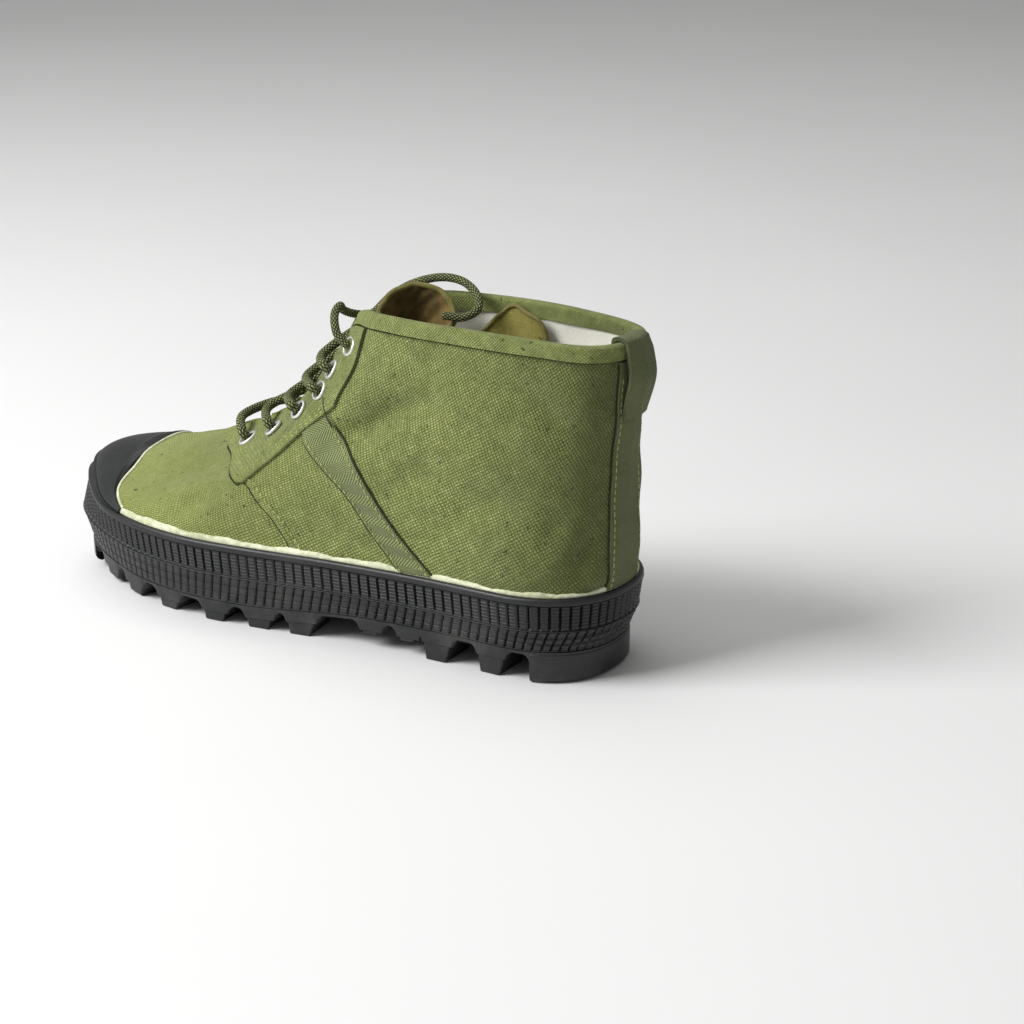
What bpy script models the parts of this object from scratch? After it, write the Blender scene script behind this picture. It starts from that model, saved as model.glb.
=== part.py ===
"""Canvas lace-up jungle boot, left foot, standing empty on its lugged rubber sole.

The toe points along +X, the outer side of the foot along +Y, and the floor is z = 0. The boot is an
assembly: a cupped outsole with lugs and a ribbed side, a foxing strip wrapped over it, a rubber toe cap,
a hollow canvas upper, and the tapes, tongue, insole, eyelets and lace that a maker adds. The upper's
surface is a loft of ribs. Each rib is one curve from the top of the foxing to the edge of the opening,
and every overlay is cut from that same surface. Points are worked out from the middle of the sole, and
each object then stands at ORIGIN, so that the part's origin lies under the middle of its box.
A turn is a place round the outline: 0 is the back of the heel, 1 the tip of the toe by the outer side,
and 2 the heel again by the inner side.
"""

import math

import bmesh
import bpy
import numpy as np

# Driving sizes, in metres
SOLE_LENGTH = 0.285
BALL_WIDTH = 0.100
COLLAR_WIDTH = 0.060
COLLAR_HEIGHT = 0.139
CLEARANCE = 0.0003
# An overlay's gap is wider than a plain clearance, because the canvas under it is faceted
OVERLAY_GAP = 0.0004
# The middle of the sole, seen from the middle of the whole boot: the pull tab stands out behind the heel
ORIGIN = (0.0038, -0.0006, 0.0)

# Sole
HEEL_LUG_HEIGHT = 0.0115
FOREFOOT_LUG_HEIGHT = 0.0080
ARCH_LUG_LIFT = 0.0060
FLOOR_HEIGHT = 0.0155
PARTING_HEIGHT = 0.0240
FOXING_HEIGHT = 0.0380
FOXING_LIP = 0.0032
TOE_BUMPER_RISE = 0.0030
TOE_SPRING = 0.0050
TOE_LEAN = 0.0060
RUBBER_WALL = 0.0035
FOXING_WALL = 0.0027
SIDE_TAPER = 0.0060
PARTING_TAPER = 0.0015
EDGE_LIP = 0.0020
EDGE_LIP_DRAW = 0.0005
BAND_STEP = 0.0006
RIB_DEPTH = 0.0008
LUG_MARGIN = 0.0006
LUG_TAPER = 0.0010
LUG_DEPTH = 0.0200
LUG_SINK = 0.0012
LUG_HEEL_SLOPE = 0.0040
LUG_TOE_SLOPE = 0.0010
CENTRE_BAR_HALF = 0.0100
CENTRE_BAR_LENGTH = 0.0090
# Places along the sole, as shares of its length: where the arch rises, the toe curls up and the bumper climbs
ARCH = (0.35, 0.58)
TOE_BREAK = 0.70
BUMPER = (0.84, 0.98)
# Share of the toe bumper's lean that its top lip has
LIP_LEAN = 0.8

# Upper and what is sewn to it
CANVAS_WALL = 0.0020
TAPE_WALL = 0.0009
BINDING_WALL = 0.0010
BINDING_DEPTH = 0.0075
STAY_HALF_WIDTH = 0.0090
TAB_HALF_WIDTH = 0.0085
TAB_LENGTH = 0.0290
TAB_WALL = 0.0016
TAB_INNER_LEG = 0.0120
TAB_BOW = 0.0026
CAP_WALL = 0.0016
INSOLE_THICKNESS = 0.0040
TONGUE_WALL = 0.0012
LACE_RADIUS = 0.00175
LACE_ARCH = 0.0065
EYELET_BORE = 0.0024
EYELET_BARREL = 0.0029
EYELET_FLANGE = 0.0046
EYELET_WALL = 0.0005
# Room between the canvas and the tongue, in which the lace passes under the facing
TONGUE_ROOM = 2 * LACE_RADIUS + 3 * CLEARANCE

# Counts
SIDE_RIBS = 32
RIB_POINTS = 32
ROWS_ABOVE_FOXING = 8
CAP_RIBS = 21
CAP_ROWS = 6
FACING_ROWS = 7
TAPE_RIBS = 11
BINDING_RIBS = 41
EYELET_SIDES = 8
LACE_SIDES = 6

# Outline of the sole at the top of the foxing, from heel to toe
# along is a share of SOLE_LENGTH; half and shift are shares of BALL_WIDTH, shift towards the outer side
OUTLINE = (
    # along  half   shift
    (0.000, 0.385, 0.000),
    (0.130, 0.390, 0.000),
    (0.280, 0.385, 0.012),
    (0.420, 0.400, 0.030),
    (0.540, 0.445, 0.035),
    (0.650, 0.495, 0.015),
    (0.760, 0.490, -0.010),
    (0.880, 0.460, -0.035),
    (1.000, 0.440, -0.050),
)
HEEL_ROUND = 0.145
TOE_ROUND = 0.290
HEEL_POWER = 2.25
TOE_POWER = 2.15

# The upper's ribs on one side, from the back of the heel to the tip of the toe
# foot and edge are shares of SOLE_LENGTH from the heel; half of COLLAR_WIDTH; height, rise and drop of
# COLLAR_HEIGHT; spread of BALL_WIDTH; lean is a slope
RIBS = (
    # foot   edge    half  height rise  lean  spread drop
    (0.000, -0.002, 0.000, 0.990, 0.26, 0.02, -0.010, 0.26),
    (0.012, 0.009, 0.210, 0.991, 0.26, 0.02, -0.010, 0.26),
    (0.050, 0.040, 0.360, 0.994, 0.26, 0.03, 0.000, 0.26),
    (0.130, 0.103, 0.435, 1.000, 0.26, 0.04, 0.010, 0.26),
    (0.250, 0.195, 0.475, 1.006, 0.26, 0.05, 0.020, 0.26),
    (0.380, 0.290, 0.465, 1.006, 0.25, 0.06, 0.040, 0.26),
    (0.480, 0.367, 0.400, 1.004, 0.22, 0.05, 0.070, 0.22),
    (0.550, 0.410, 0.285, 0.990, 0.18, 0.02, 0.080, 0.18),
    (0.610, 0.438, 0.225, 0.912, 0.14, 0.00, 0.080, 0.13),
    (0.680, 0.487, 0.215, 0.778, 0.10, -0.05, 0.085, 0.12),
    (0.770, 0.542, 0.205, 0.664, 0.07, -0.10, 0.095, 0.09),
    (0.870, 0.633, 0.165, 0.567, 0.05, -0.25, 0.165, 0.097),
    (0.950, 0.672, 0.095, 0.546, 0.045, -0.50, 0.260, 0.095),
    (1.000, 0.682, 0.000, 0.540, 0.045, -0.60, 0.280, 0.095),
)
COLLAR_FRONT = 0.555

# Side lugs: where each ground face starts and ends as shares of SOLE_LENGTH, and whether the arch lifts it
LUGS = (
    # start  end   lifted
    (0.148, 0.180, 0),
    (0.239, 0.271, 0),
    (0.293, 0.313, 1),
    (0.355, 0.375, 1),
    (0.463, 0.495, 0),
    (0.533, 0.565, 0),
    (0.612, 0.644, 0),
    (0.709, 0.741, 0),
    (0.796, 0.828, 0),
    (0.870, 0.902, 0),
)
HEEL_BLOCK_END = 0.093
TOE_BLOCK_START = 0.945
CENTRE_BARS = (0.205, 0.515, 0.590, 0.677, 0.768, 0.850)

# Eyelets from the collar down: the rib each one sits on, as a share of SOLE_LENGTH, and its height on the rib
EYELETS = (
    # along  v
    (0.540, 0.840),
    (0.572, 0.750),
    (0.568, 0.665),
    (0.608, 0.615),
    (0.695, 0.670),
    (0.790, 0.720),
)
# The throat's edge beside each eyelet, where its lace crosses, as a share of SOLE_LENGTH round the foot
LACE_EDGES = (0.610, 0.648, 0.692, 0.750, 0.808, 0.868)

# Facing under the eyelets: how far down each rib it reaches
FACING = (
    # along  v
    (0.500, 0.620),
    (0.530, 0.540),
    (0.562, 0.450),
    (0.594, 0.370),
    (0.609, 0.320),
    (0.632, 0.340),
    (0.727, 0.520),
    (0.825, 0.710),
    (0.895, 0.930),
)
FACING_COLLAR_ROWS = (0.500, 0.515, 0.530, 0.545, 0.5585)
FACING_THROAT_ROWS = (0.5625, 0.580, 0.596, 0.609, 0.632, 0.660, 0.690, 0.727, 0.768, 0.810, 0.855, 0.895)

# Side tape from the facing down to the foxing: the turns and heights on the ribs of its two edges
SIDE_TAPE = (
    # front  v     back   v
    (0.515, 0.47, 0.490, 0.55),
    (0.475, 0.38, 0.445, 0.43),
    (0.435, 0.27, 0.400, 0.25),
    (0.400, 0.13, 0.362, 0.11),
    (0.370, 0.00, 0.330, 0.00),
)

# Toe cap: how far up its ribs it reaches, by turns from the tip of the toe
CAP = (
    # away   v
    (0.000, 0.570),
    (0.080, 0.545),
    (0.160, 0.430),
    (0.225, 0.260),
    (0.275, 0.090),
)

# Pull tab: how far it stands off the backstay, by shares of TAB_LENGTH down from the collar and of TAB_BOW
TAB_BOWS = (
    # down  bow
    (1.00, 0.0),
    (0.72, 0.5),
    (0.40, 1.0),
    (0.10, 0.5),
)

# Tongue: its free edge, curled like a C that opens to the outer side, from the outer side round to the inner
TONGUE_HEM = (
    # along  side    height
    (0.395, 0.183, 0.935),
    (0.405, 0.100, 1.000),
    (0.400, -0.033, 1.032),
    (0.381, -0.150, 1.047),
    (0.353, -0.217, 1.036),
    (0.328, -0.208, 1.004),
    (0.311, -0.133, 0.950),
)
TONGUE_TOP = 0.632
TONGUE_DEPTHS = (0.0160, 0.0080, 0.0)
TONGUE_ROWS = 10
TONGUE_RISE_ROWS = 4

# Free end of the lace, in metres: out of the top outer eyelet, across in front of the tongue, over the far
# side of the collar in a loop, and down inside
LACE_END = (
    (-0.0190, 0.0255, 0.1300),
    (-0.0150, 0.0215, 0.1365),
    (-0.0135, 0.0155, 0.1390),
    (-0.0110, 0.0095, 0.1355),
    (-0.0118, 0.0020, 0.1325),
    (-0.0145, -0.0060, 0.1315),
    (-0.0190, -0.0115, 0.1375),
    (-0.0285, -0.0150, 0.1440),
    (-0.0395, -0.0195, 0.1472),
    (-0.0500, -0.0205, 0.1466),
    (-0.0585, -0.0180, 0.1425),
    (-0.0620, -0.0130, 0.1375),
    (-0.0580, -0.0075, 0.1350),
    (-0.0515, -0.0035, 0.1360),
)
LACE_STEP = 0.0065

UP = np.array([0.0, 0.0, 1.0])

LOOKS = {
    # material: colour, roughness, metallic
    "rubber": ((0.012, 0.013, 0.014), 0.55, 0.0),
    "canvas": ((0.110, 0.135, 0.035), 0.90, 0.0),
    "tape": ((0.090, 0.110, 0.040), 0.90, 0.0),
    "tongue": ((0.170, 0.150, 0.045), 0.90, 0.0),
    "insole": ((0.350, 0.320, 0.260), 0.95, 0.0),
    "eyelet": ((0.780, 0.780, 0.760), 0.35, 1.0),
    "lace": ((0.050, 0.065, 0.025), 0.85, 0.0),
}


def interpolate(rows, column, at, key=lambda value: value):
    """A smooth curve through one column of a table whose first column rises."""
    xs = [key(row[0]) for row in rows]
    ys = [row[column] for row in rows]
    at = min(max(at, xs[0]), xs[-1])
    first = min(max(k for k in range(len(xs)) if xs[k] <= at), len(xs) - 2)
    slopes = []
    for k in (first, first + 1):
        before, after = max(k - 1, 0), min(k + 1, len(xs) - 1)
        slopes.append((ys[after] - ys[before]) / (xs[after] - xs[before]))
    span = xs[first + 1] - xs[first]
    u = (at - xs[first]) / span
    return (
        ys[first] * (2 * u**3 - 3 * u**2 + 1)
        + slopes[0] * span * (u**3 - 2 * u**2 + u)
        + ys[first + 1] * (3 * u**2 - 2 * u**3)
        + slopes[1] * span * (u**3 - u**2)
    )


def smoothstep(low, high, at):
    u = min(max((at - low) / (high - low), 0.0), 1.0)
    return u * u * (3 - 2 * u)


def along_of(turn):
    """Share of the sole's length at a turn round one side: 0 is the back of the heel and 1 the tip of the toe."""
    return (1 - math.cos(math.pi * turn)) / 2


def turn_of(along):
    return math.acos(1 - 2 * along) / math.pi


def along_at(turn):
    turn = turn % 2
    return along_of(min(turn, 2 - turn))


def on_outline(turn):
    """The sole's outline in plan. Turns 0 to 1 run up the outer side, 1 to 2 back down the inner side."""
    turn = turn % 2
    side = 1 if turn <= 1 else -1
    along = along_of(min(turn, 2 - turn))
    heel = max(0.0, 1 - along / HEEL_ROUND)
    toe = max(0.0, 1 - (1 - along) / TOE_ROUND)
    rounding = (1 - heel**HEEL_POWER) ** (1 / HEEL_POWER) * (1 - toe**TOE_POWER) ** (1 / TOE_POWER)
    half = interpolate(OUTLINE, 1, along) * rounding * BALL_WIDTH
    shift = interpolate(OUTLINE, 2, along) * BALL_WIDTH
    return np.array([(along - 0.5) * SOLE_LENGTH, shift + side * half, 0.0])


def outward(turn):
    """The outline's outward direction in plan."""
    step = 1e-3
    run = on_outline(turn + step) - on_outline(turn - step)
    return np.array([-run[1], run[0], 0.0]) / np.linalg.norm(run)


def inset_outline(turn, inset, height=0.0):
    point = on_outline(turn) - inset * outward(turn)
    point[2] = height
    return point


def toe_lift(along):
    """How far the sole curls up towards the toe."""
    return TOE_SPRING * max(0.0, (along - TOE_BREAK) / (1 - TOE_BREAK)) ** 2


def toe_lean(along):
    """How far the toe bumper's top leans in over the foot."""
    return TOE_LEAN * smoothstep(*BUMPER, along)


def foxing_top(along):
    return FOXING_HEIGHT + toe_lift(along) + TOE_BUMPER_RISE * smoothstep(*BUMPER, along)


def plate_bottom(along):
    """Height of the sole plate's underside, from which the lugs hang."""
    share = smoothstep(*ARCH, along)
    return HEEL_LUG_HEIGHT * (1 - share) + FOREFOOT_LUG_HEIGHT * share + toe_lift(along)


def side_inset(height):
    """How far the sole's side has drawn in at a height between the plate and the parting line."""
    share = (height - HEEL_LUG_HEIGHT) / (PARTING_HEIGHT - HEEL_LUG_HEIGHT)
    return SIDE_TAPER + (PARTING_TAPER - SIDE_TAPER) * share


def rib_curve(turn):
    """The four handles of the rib at this turn: foot, rise, shoulder and edge."""
    side = 1 if turn % 2 <= 1 else -1
    along = along_at(turn)
    at = turn_of(along)
    edge, half, height, rise, lean, spread, drop = (
        interpolate(RIBS, column, at, key=turn_of) for column in range(1, 8)
    )
    normal = outward(turn)
    foot = inset_outline(turn, toe_lean(along) + FOXING_WALL + CLEARANCE, foxing_top(along))
    top = np.array([(edge - 0.5) * SOLE_LENGTH, side * half * COLLAR_WIDTH, height * COLLAR_HEIGHT])
    return (
        foot,
        foot + rise * COLLAR_HEIGHT * (UP + lean * normal),
        top + spread * BALL_WIDTH * normal - drop * COLLAR_HEIGHT * UP,
        top,
    )


def surface(turn, v):
    """The upper's outer face: v = 0 is the top of the foxing and v = 1 the edge of the opening."""
    foot, rise, shoulder, edge = rib_curve(turn)
    w = 1 - v
    return foot * w**3 + 3 * rise * w * w * v + 3 * shoulder * w * v * v + edge * v**3


def facing_out(turn, v):
    """The outward normal of the upper's outer face."""
    step = 1e-3
    low, high = max(v - step, 0.0), min(v + step, 1.0)
    climb = surface(turn, high) - surface(turn, low)
    run = surface(turn + step, v) - surface(turn - step, v)
    normal = np.cross(climb, run)
    return normal / np.linalg.norm(normal)


def off_surface(turn, v, out):
    return surface(turn, v) + out * facing_out(turn, v)


def above_foxing(turn, v, out):
    """A point off the surface, kept clear of the foxing's top edge."""
    point = off_surface(turn, v, out)
    point[2] = max(point[2], foxing_top(along_at(turn)) + CLEARANCE)
    return point


def below_edge(turn, below, out):
    """A point at a distance down the rib from the opening's edge; a negative distance stands above the edge."""
    if below <= 0:
        climb = surface(turn, 1.0) - surface(turn, 0.98)
        return off_surface(turn, 1.0, out) - below * climb / np.linalg.norm(climb)
    return off_surface(turn, v_below_edge(turn, below), out)


def v_below_edge(turn, below):
    steps = np.linspace(1.0, 0.0, 60)
    points = np.array([surface(turn, v) for v in steps])
    run = np.concatenate([[0.0], np.cumsum(np.linalg.norm(np.diff(points, axis=0), axis=1))])
    return float(np.interp(below, run, steps))


def even_turns(count):
    """Turns round the whole outline, evenly spaced along it, with each side the mirror of the other."""
    fine = np.linspace(0.0, 1.0, 400)
    points = np.array([on_outline(turn) for turn in fine])
    run = np.concatenate([[0.0], np.cumsum(np.linalg.norm(np.diff(points, axis=0), axis=1))])
    return both_sides(list(np.interp(np.linspace(0.0, run[-1], count + 1), run, fine)))


def both_sides(turns):
    return turns + [2 - turn for turn in reversed(turns[1:-1])]


def heel_turn(half_width):
    """The turn at which the outline lies this far from the middle of the heel."""
    low, high = 0.0, 0.2
    for _ in range(40):
        middle = (low + high) / 2
        if on_outline(middle)[1] < half_width:
            low = middle
        else:
            high = middle
    return low


def ring(turns, inset, height):
    """A closed ring inside the outline. inset takes a point's number and its place along the sole."""
    return [
        inset_outline(turn, inset(number, along_at(turn)), height(along_at(turn)))
        for number, turn in enumerate(turns)
    ]


def loft(bm, rings, cycle=False):
    """Quads between closed rings of equal count; cycle joins the last ring to the first."""
    grid = [[bm.verts.new(point) for point in points] for points in rings]
    count = len(rings[0])
    pairs = list(zip(grid, grid[1:]))
    if cycle:
        pairs.append((grid[-1], grid[0]))
    for low, high in pairs:
        for i in range(count):
            j = (i + 1) % count
            bm.faces.new((low[i], low[j], high[j], high[i]))
    return grid


def ladder(bm, verts):
    """Closes a ring that is symmetric about its first and its middle point with rungs across it."""
    count = len(verts)
    for i in range(count // 2):
        rung = [verts[i], verts[i + 1], verts[count - i - 1], verts[(count - i) % count]]
        bm.faces.new(list(dict.fromkeys(rung)))


def slab(bm, outer, inner):
    """A closed sheet between two grids of points of the same size."""
    grid = loft(bm, [list(a) + list(reversed(b)) for a, b in zip(outer, inner)])
    for verts in (grid[0], grid[-1]):
        count = len(verts)
        for i in range(count // 2 - 1):
            bm.faces.new((verts[i], verts[i + 1], verts[count - i - 2], verts[count - i - 1]))


def material(name):
    """The Principled material of this name, made once."""
    if name in bpy.data.materials:
        return bpy.data.materials[name]
    colour, roughness, metallic = LOOKS[name]
    made = bpy.data.materials.new(name)
    made.use_nodes = True
    shader = made.node_tree.nodes["Principled BSDF"]
    shader.inputs["Base Color"].default_value = (*colour, 1.0)
    shader.inputs["Roughness"].default_value = roughness
    shader.inputs["Metallic"].default_value = metallic
    return made


def place(bm, name, look, smooth=True):
    """Turns a finished bmesh into a named object with its faces pointing out and flat enough to cut."""
    bmesh.ops.triangulate(bm, faces=bm.faces)
    bmesh.ops.recalc_face_normals(bm, faces=bm.faces)
    mesh = bpy.data.meshes.new(name)
    bm.to_mesh(mesh)
    bm.free()
    if smooth:
        mesh.shade_smooth()
        mesh.set_sharp_from_angle(angle=math.radians(35))
    made = bpy.data.objects.new(name, mesh)
    made.location = ORIGIN
    made.data.materials.append(material(look))
    bpy.context.collection.objects.link(made)
    return made


def cut(target, cutter, operation):
    """Joins or cuts with a hidden guide object."""
    cutter.hide_render = True
    cutter.display_type = "WIRE"
    change = target.modifiers.new(operation.lower(), "BOOLEAN")
    change.operation = operation
    change.object = cutter


def side_lug(bm, start, end, lifted, side):
    """One edge cleat: steep towards the toe, sloping towards the heel."""
    rings = []
    for low in (True, False):
        first = start if low else start - LUG_HEEL_SLOPE / SOLE_LENGTH
        last = end if low else end + LUG_TOE_SLOPE / SOLE_LENGTH
        margin = SIDE_TAPER + LUG_MARGIN + (LUG_TAPER if low else 0.0)
        places = [first, (first + last) / 2, last]
        turns = [turn_of(along) if side > 0 else 2 - turn_of(along) for along in places]
        points = [(turn, margin) for turn in turns] + [(turn, SIDE_TAPER + LUG_DEPTH) for turn in reversed(turns)]
        ground = ARCH_LUG_LIFT if lifted else 0.0
        rings.append(
            [
                inset_outline(
                    turn,
                    inset,
                    ground + toe_lift(along_at(turn)) if low else plate_bottom(along_at(turn)) + LUG_SINK,
                )
                for turn, inset in points
            ]
        )
    grid = loft(bm, rings)
    bm.faces.new(grid[0])
    bm.faces.new(grid[1])


def end_block(bm, turns):
    """A block across the heel or the toe, cut off square."""
    low = [inset_outline(t, SIDE_TAPER + LUG_MARGIN + LUG_TAPER, toe_lift(along_at(t))) for t in turns]
    high = [inset_outline(t, SIDE_TAPER + LUG_MARGIN, plate_bottom(along_at(t)) + LUG_SINK) for t in turns]
    grid = loft(bm, [low, high])
    bm.faces.new(grid[0])
    bm.faces.new(grid[1])


def centre_bar(bm, along):
    """A short bar across the middle of the tread, between the side lugs."""
    shift = interpolate(OUTLINE, 2, along) * BALL_WIDTH
    x = (along - 0.5) * SOLE_LENGTH
    half = CENTRE_BAR_LENGTH / 2
    wide = CENTRE_BAR_HALF
    corners = ((-half, -wide), (half, -wide), (half, wide), (-half, wide))
    low = [(x + a, shift + b, toe_lift(along)) for a, b in corners]
    grow = 1 + LUG_TAPER / half
    high = [(x + a * grow, shift + b, plate_bottom(along) + LUG_SINK) for a, b in corners]
    grid = loft(bm, [low, high])
    bm.faces.new(grid[0])
    bm.faces.new(grid[1])


def add_outsole():
    turns = even_turns(2 * SIDE_RIBS)

    def ribbed(inset):
        return lambda number, along: inset + BAND_STEP + (RIB_DEPTH if number % 2 else 0.0)

    def edge_lip(along):
        return plate_bottom(along) + EDGE_LIP

    def parting(along):
        return PARTING_HEIGHT + toe_lift(along)

    bm = bmesh.new()
    grid = loft(
        bm,
        [
            ring(turns, lambda number, along: SIDE_TAPER, plate_bottom),
            ring(turns, lambda number, along: SIDE_TAPER - EDGE_LIP_DRAW, edge_lip),
            ring(turns, ribbed(SIDE_TAPER - EDGE_LIP_DRAW), edge_lip),
            ring(turns, ribbed(PARTING_TAPER), parting),
            ring(turns, lambda number, along: PARTING_TAPER + RUBBER_WALL, parting),
            ring(
                turns,
                lambda number, along: side_inset(FLOOR_HEIGHT) + RUBBER_WALL,
                lambda a: FLOOR_HEIGHT + toe_lift(a),
            ),
        ],
    )
    ladder(bm, grid[0])
    ladder(bm, grid[-1])
    outsole = place(bm, "outsole", "rubber")

    bm = bmesh.new()
    for start, end, lifted in LUGS:
        side_lug(bm, start, end, lifted, 1)
        side_lug(bm, start, end, lifted, -1)
    for along in CENTRE_BARS:
        centre_bar(bm, along)
    heel = turn_of(HEEL_BLOCK_END)
    toe = 1 - turn_of(TOE_BLOCK_START)
    end_block(bm, [heel * share for share in np.linspace(-1, 1, 13)])
    end_block(bm, [1 + toe * share for share in np.linspace(-1, 1, 9)])
    cut(outsole, place(bm, "lug_guide", "rubber"), "UNION")


def add_foxing():
    turns = even_turns(2 * SIDE_RIBS)

    def ribbed(number):
        return RIB_DEPTH if number % 2 else 0.0

    def parting(along):
        return PARTING_HEIGHT + CLEARANCE + toe_lift(along)

    def lip(along):
        return foxing_top(along) - FOXING_LIP

    bm = bmesh.new()
    loft(
        bm,
        [
            ring(turns, lambda number, along: PARTING_TAPER + ribbed(number), parting),
            ring(turns, lambda number, along: LIP_LEAN * toe_lean(along) + BAND_STEP + ribbed(number), lip),
            ring(turns, lambda number, along: LIP_LEAN * toe_lean(along), lip),
            ring(turns, lambda number, along: toe_lean(along) + BAND_STEP / 2, foxing_top),
            ring(turns, lambda number, along: toe_lean(along) + FOXING_WALL, foxing_top),
            ring(turns, lambda number, along: PARTING_TAPER + RUBBER_WALL, parting),
        ],
        cycle=True,
    )
    place(bm, "foxing", "rubber")


def upper_turns():
    return both_sides(list(np.linspace(0.0, 1.0, RIB_POINTS + 1)))


def add_upper(holes):
    turns = upper_turns()
    floor_inset = side_inset(FLOOR_HEIGHT) + RUBBER_WALL + CLEARANCE
    parting_inset = PARTING_TAPER + RUBBER_WALL + CLEARANCE
    heights = np.linspace(0.0, 1.0, ROWS_ABOVE_FOXING + 1)[1:]

    def low_rings(wall):
        return [
            ring(turns, lambda number, along: floor_inset + wall, lambda a: FLOOR_HEIGHT + CLEARANCE + toe_lift(a)),
            ring(
                turns,
                lambda number, along: parting_inset + wall,
                lambda a: PARTING_HEIGHT + CLEARANCE + toe_lift(a),
            ),
            ring(turns, lambda number, along: toe_lean(along) + FOXING_WALL + CLEARANCE + wall, foxing_top),
        ]

    outer = low_rings(0.0) + [[surface(turn, v) for turn in turns] for v in heights]
    inner = low_rings(CANVAS_WALL) + [[off_surface(turn, v, -CANVAS_WALL) for turn in turns] for v in heights]
    bm = bmesh.new()
    loft(bm, outer + inner[::-1], cycle=True)
    cut(place(bm, "upper", "canvas"), holes, "DIFFERENCE")


def add_insole():
    turns = upper_turns()
    inset = side_inset(FLOOR_HEIGHT) + RUBBER_WALL + CANVAS_WALL + 3 * CLEARANCE
    bm = bmesh.new()
    rings = [
        ring(turns, lambda number, along: inset, lambda a: FLOOR_HEIGHT + CLEARANCE + rise + toe_lift(a))
        for rise in (0.0, INSOLE_THICKNESS)
    ]
    grid = loft(bm, rings)
    ladder(bm, grid[0])
    ladder(bm, grid[1])
    place(bm, "insole", "insole")


def add_toe_cap():
    rows = []
    reach = CAP[-1][0]
    for away in np.linspace(-reach, reach, CAP_RIBS):
        top = interpolate(CAP, 1, abs(away))
        rows.append([(1 + away, top * share) for share in np.linspace(0.0, 1.0, CAP_ROWS)])
    bm = bmesh.new()
    slab(
        bm,
        [[above_foxing(turn, v, OVERLAY_GAP + CAP_WALL) for turn, v in row] for row in rows],
        [[above_foxing(turn, v, OVERLAY_GAP) for turn, v in row] for row in rows],
    )
    place(bm, "toe_cap", "rubber")


def sided(turn, side):
    return turn if side > 0 else 2 - turn


def add_overlay(name, rows, look, side):
    """A tape-thick panel over the upper. rows hold turns and heights on the ribs."""
    bm = bmesh.new()
    slab(
        bm,
        [[above_foxing(sided(turn, side), v, OVERLAY_GAP + TAPE_WALL) for turn, v in row] for row in rows],
        [[above_foxing(sided(turn, side), v, OVERLAY_GAP) for turn, v in row] for row in rows],
    )
    return place(bm, name, look)


def facing_rows():
    """The facing stops under the binding at the collar, and reaches the edge along the throat."""
    rows = []
    for along in FACING_COLLAR_ROWS + FACING_THROAT_ROWS:
        turn = turn_of(along)
        low = interpolate(FACING, 1, along)
        high = 1.0 if along in FACING_THROAT_ROWS else v_below_edge(turn, BINDING_DEPTH + 2 * OVERLAY_GAP)
        rows.append([(turn, v) for v in np.linspace(high, low, FACING_ROWS)])
    return rows


def tape_rows():
    rows = []
    numbered = [(number, *row) for number, row in enumerate(SIDE_TAPE)]
    for at in np.linspace(0, len(SIDE_TAPE) - 1, TAPE_RIBS):
        front, front_v, back, back_v = (interpolate(numbered, column, at) for column in range(1, 5))
        rows.append([(front + (back - front) * s, front_v + (back_v - front_v) * s) for s in (0.0, 0.5, 1.0)])
    return rows


def add_heel_stay():
    reach = heel_turn(STAY_HALF_WIDTH)
    top = v_below_edge(0.0, BINDING_DEPTH + 2 * OVERLAY_GAP)
    turns = [reach * across for across in np.linspace(-1, 1, 5)]
    rows = [[(turn, v) for turn in turns] for v in np.linspace(0.0, top, TAPE_RIBS)]
    add_overlay("heel_stay", rows, "tape", 1)


def folded(name, look, turns, outside, inside):
    """A tape folded over the opening's edge. The two faces are lists of distances below the edge and outwards."""
    bm = bmesh.new()
    slab(
        bm,
        [[below_edge(turn, below, out) for below, out in outside] for turn in turns],
        [[below_edge(turn, below, out) for below, out in inside] for turn in turns],
    )
    place(bm, name, look)


def fold_faces(depth, gap, wall, inner_gap):
    """The two faces of a plain fold of tape."""
    thick = gap + wall
    inner_thick = inner_gap + wall
    return (
        [(depth, thick), (-thick, thick), (-thick, -CANVAS_WALL - inner_thick), (depth, -CANVAS_WALL - inner_thick)],
        [(depth, gap), (-gap, gap), (-gap, -CANVAS_WALL - inner_gap), (depth, -CANVAS_WALL - inner_gap)],
    )


def add_binding():
    turns = np.linspace(-turn_of(COLLAR_FRONT), turn_of(COLLAR_FRONT), BINDING_RIBS)
    outside, inside = fold_faces(BINDING_DEPTH, OVERLAY_GAP, BINDING_WALL, OVERLAY_GAP)
    folded("collar_binding", "tape", turns, outside, inside)


def add_pull_tab():
    """A loop of tape at the back: sewn low on the backstay, bowed clear of it, and folded over the binding."""
    reach = heel_turn(TAB_HALF_WIDTH)
    seat = 2 * OVERLAY_GAP + BINDING_WALL
    inner_seat = CANVAS_WALL + seat
    bowed = [(TAB_LENGTH * down, seat + TAB_BOW * bow) for down, bow in TAB_BOWS]
    inside = bowed + [(-seat, seat), (-seat, -inner_seat), (TAB_INNER_LEG, -inner_seat)]
    outside = [(below, out + TAB_WALL) for below, out in bowed] + [
        (-seat - TAB_WALL, seat + TAB_WALL),
        (-seat - TAB_WALL, -inner_seat - TAB_WALL),
        (TAB_INNER_LEG, -inner_seat - TAB_WALL),
    ]
    folded("pull_tab", "tape", [reach * across for across in np.linspace(-1, 1, 5)], outside, inside)


def eyelet_frame(along, v, side):
    """An eyelet's seat on the upper, its outward direction and two directions across it."""
    turn = sided(turn_of(along), side)
    seat = surface(turn, v)
    normal = facing_out(turn, v)
    across = np.cross(normal, UP)
    across = across / np.linalg.norm(across)
    return seat, normal, across, np.cross(normal, across)


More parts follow.
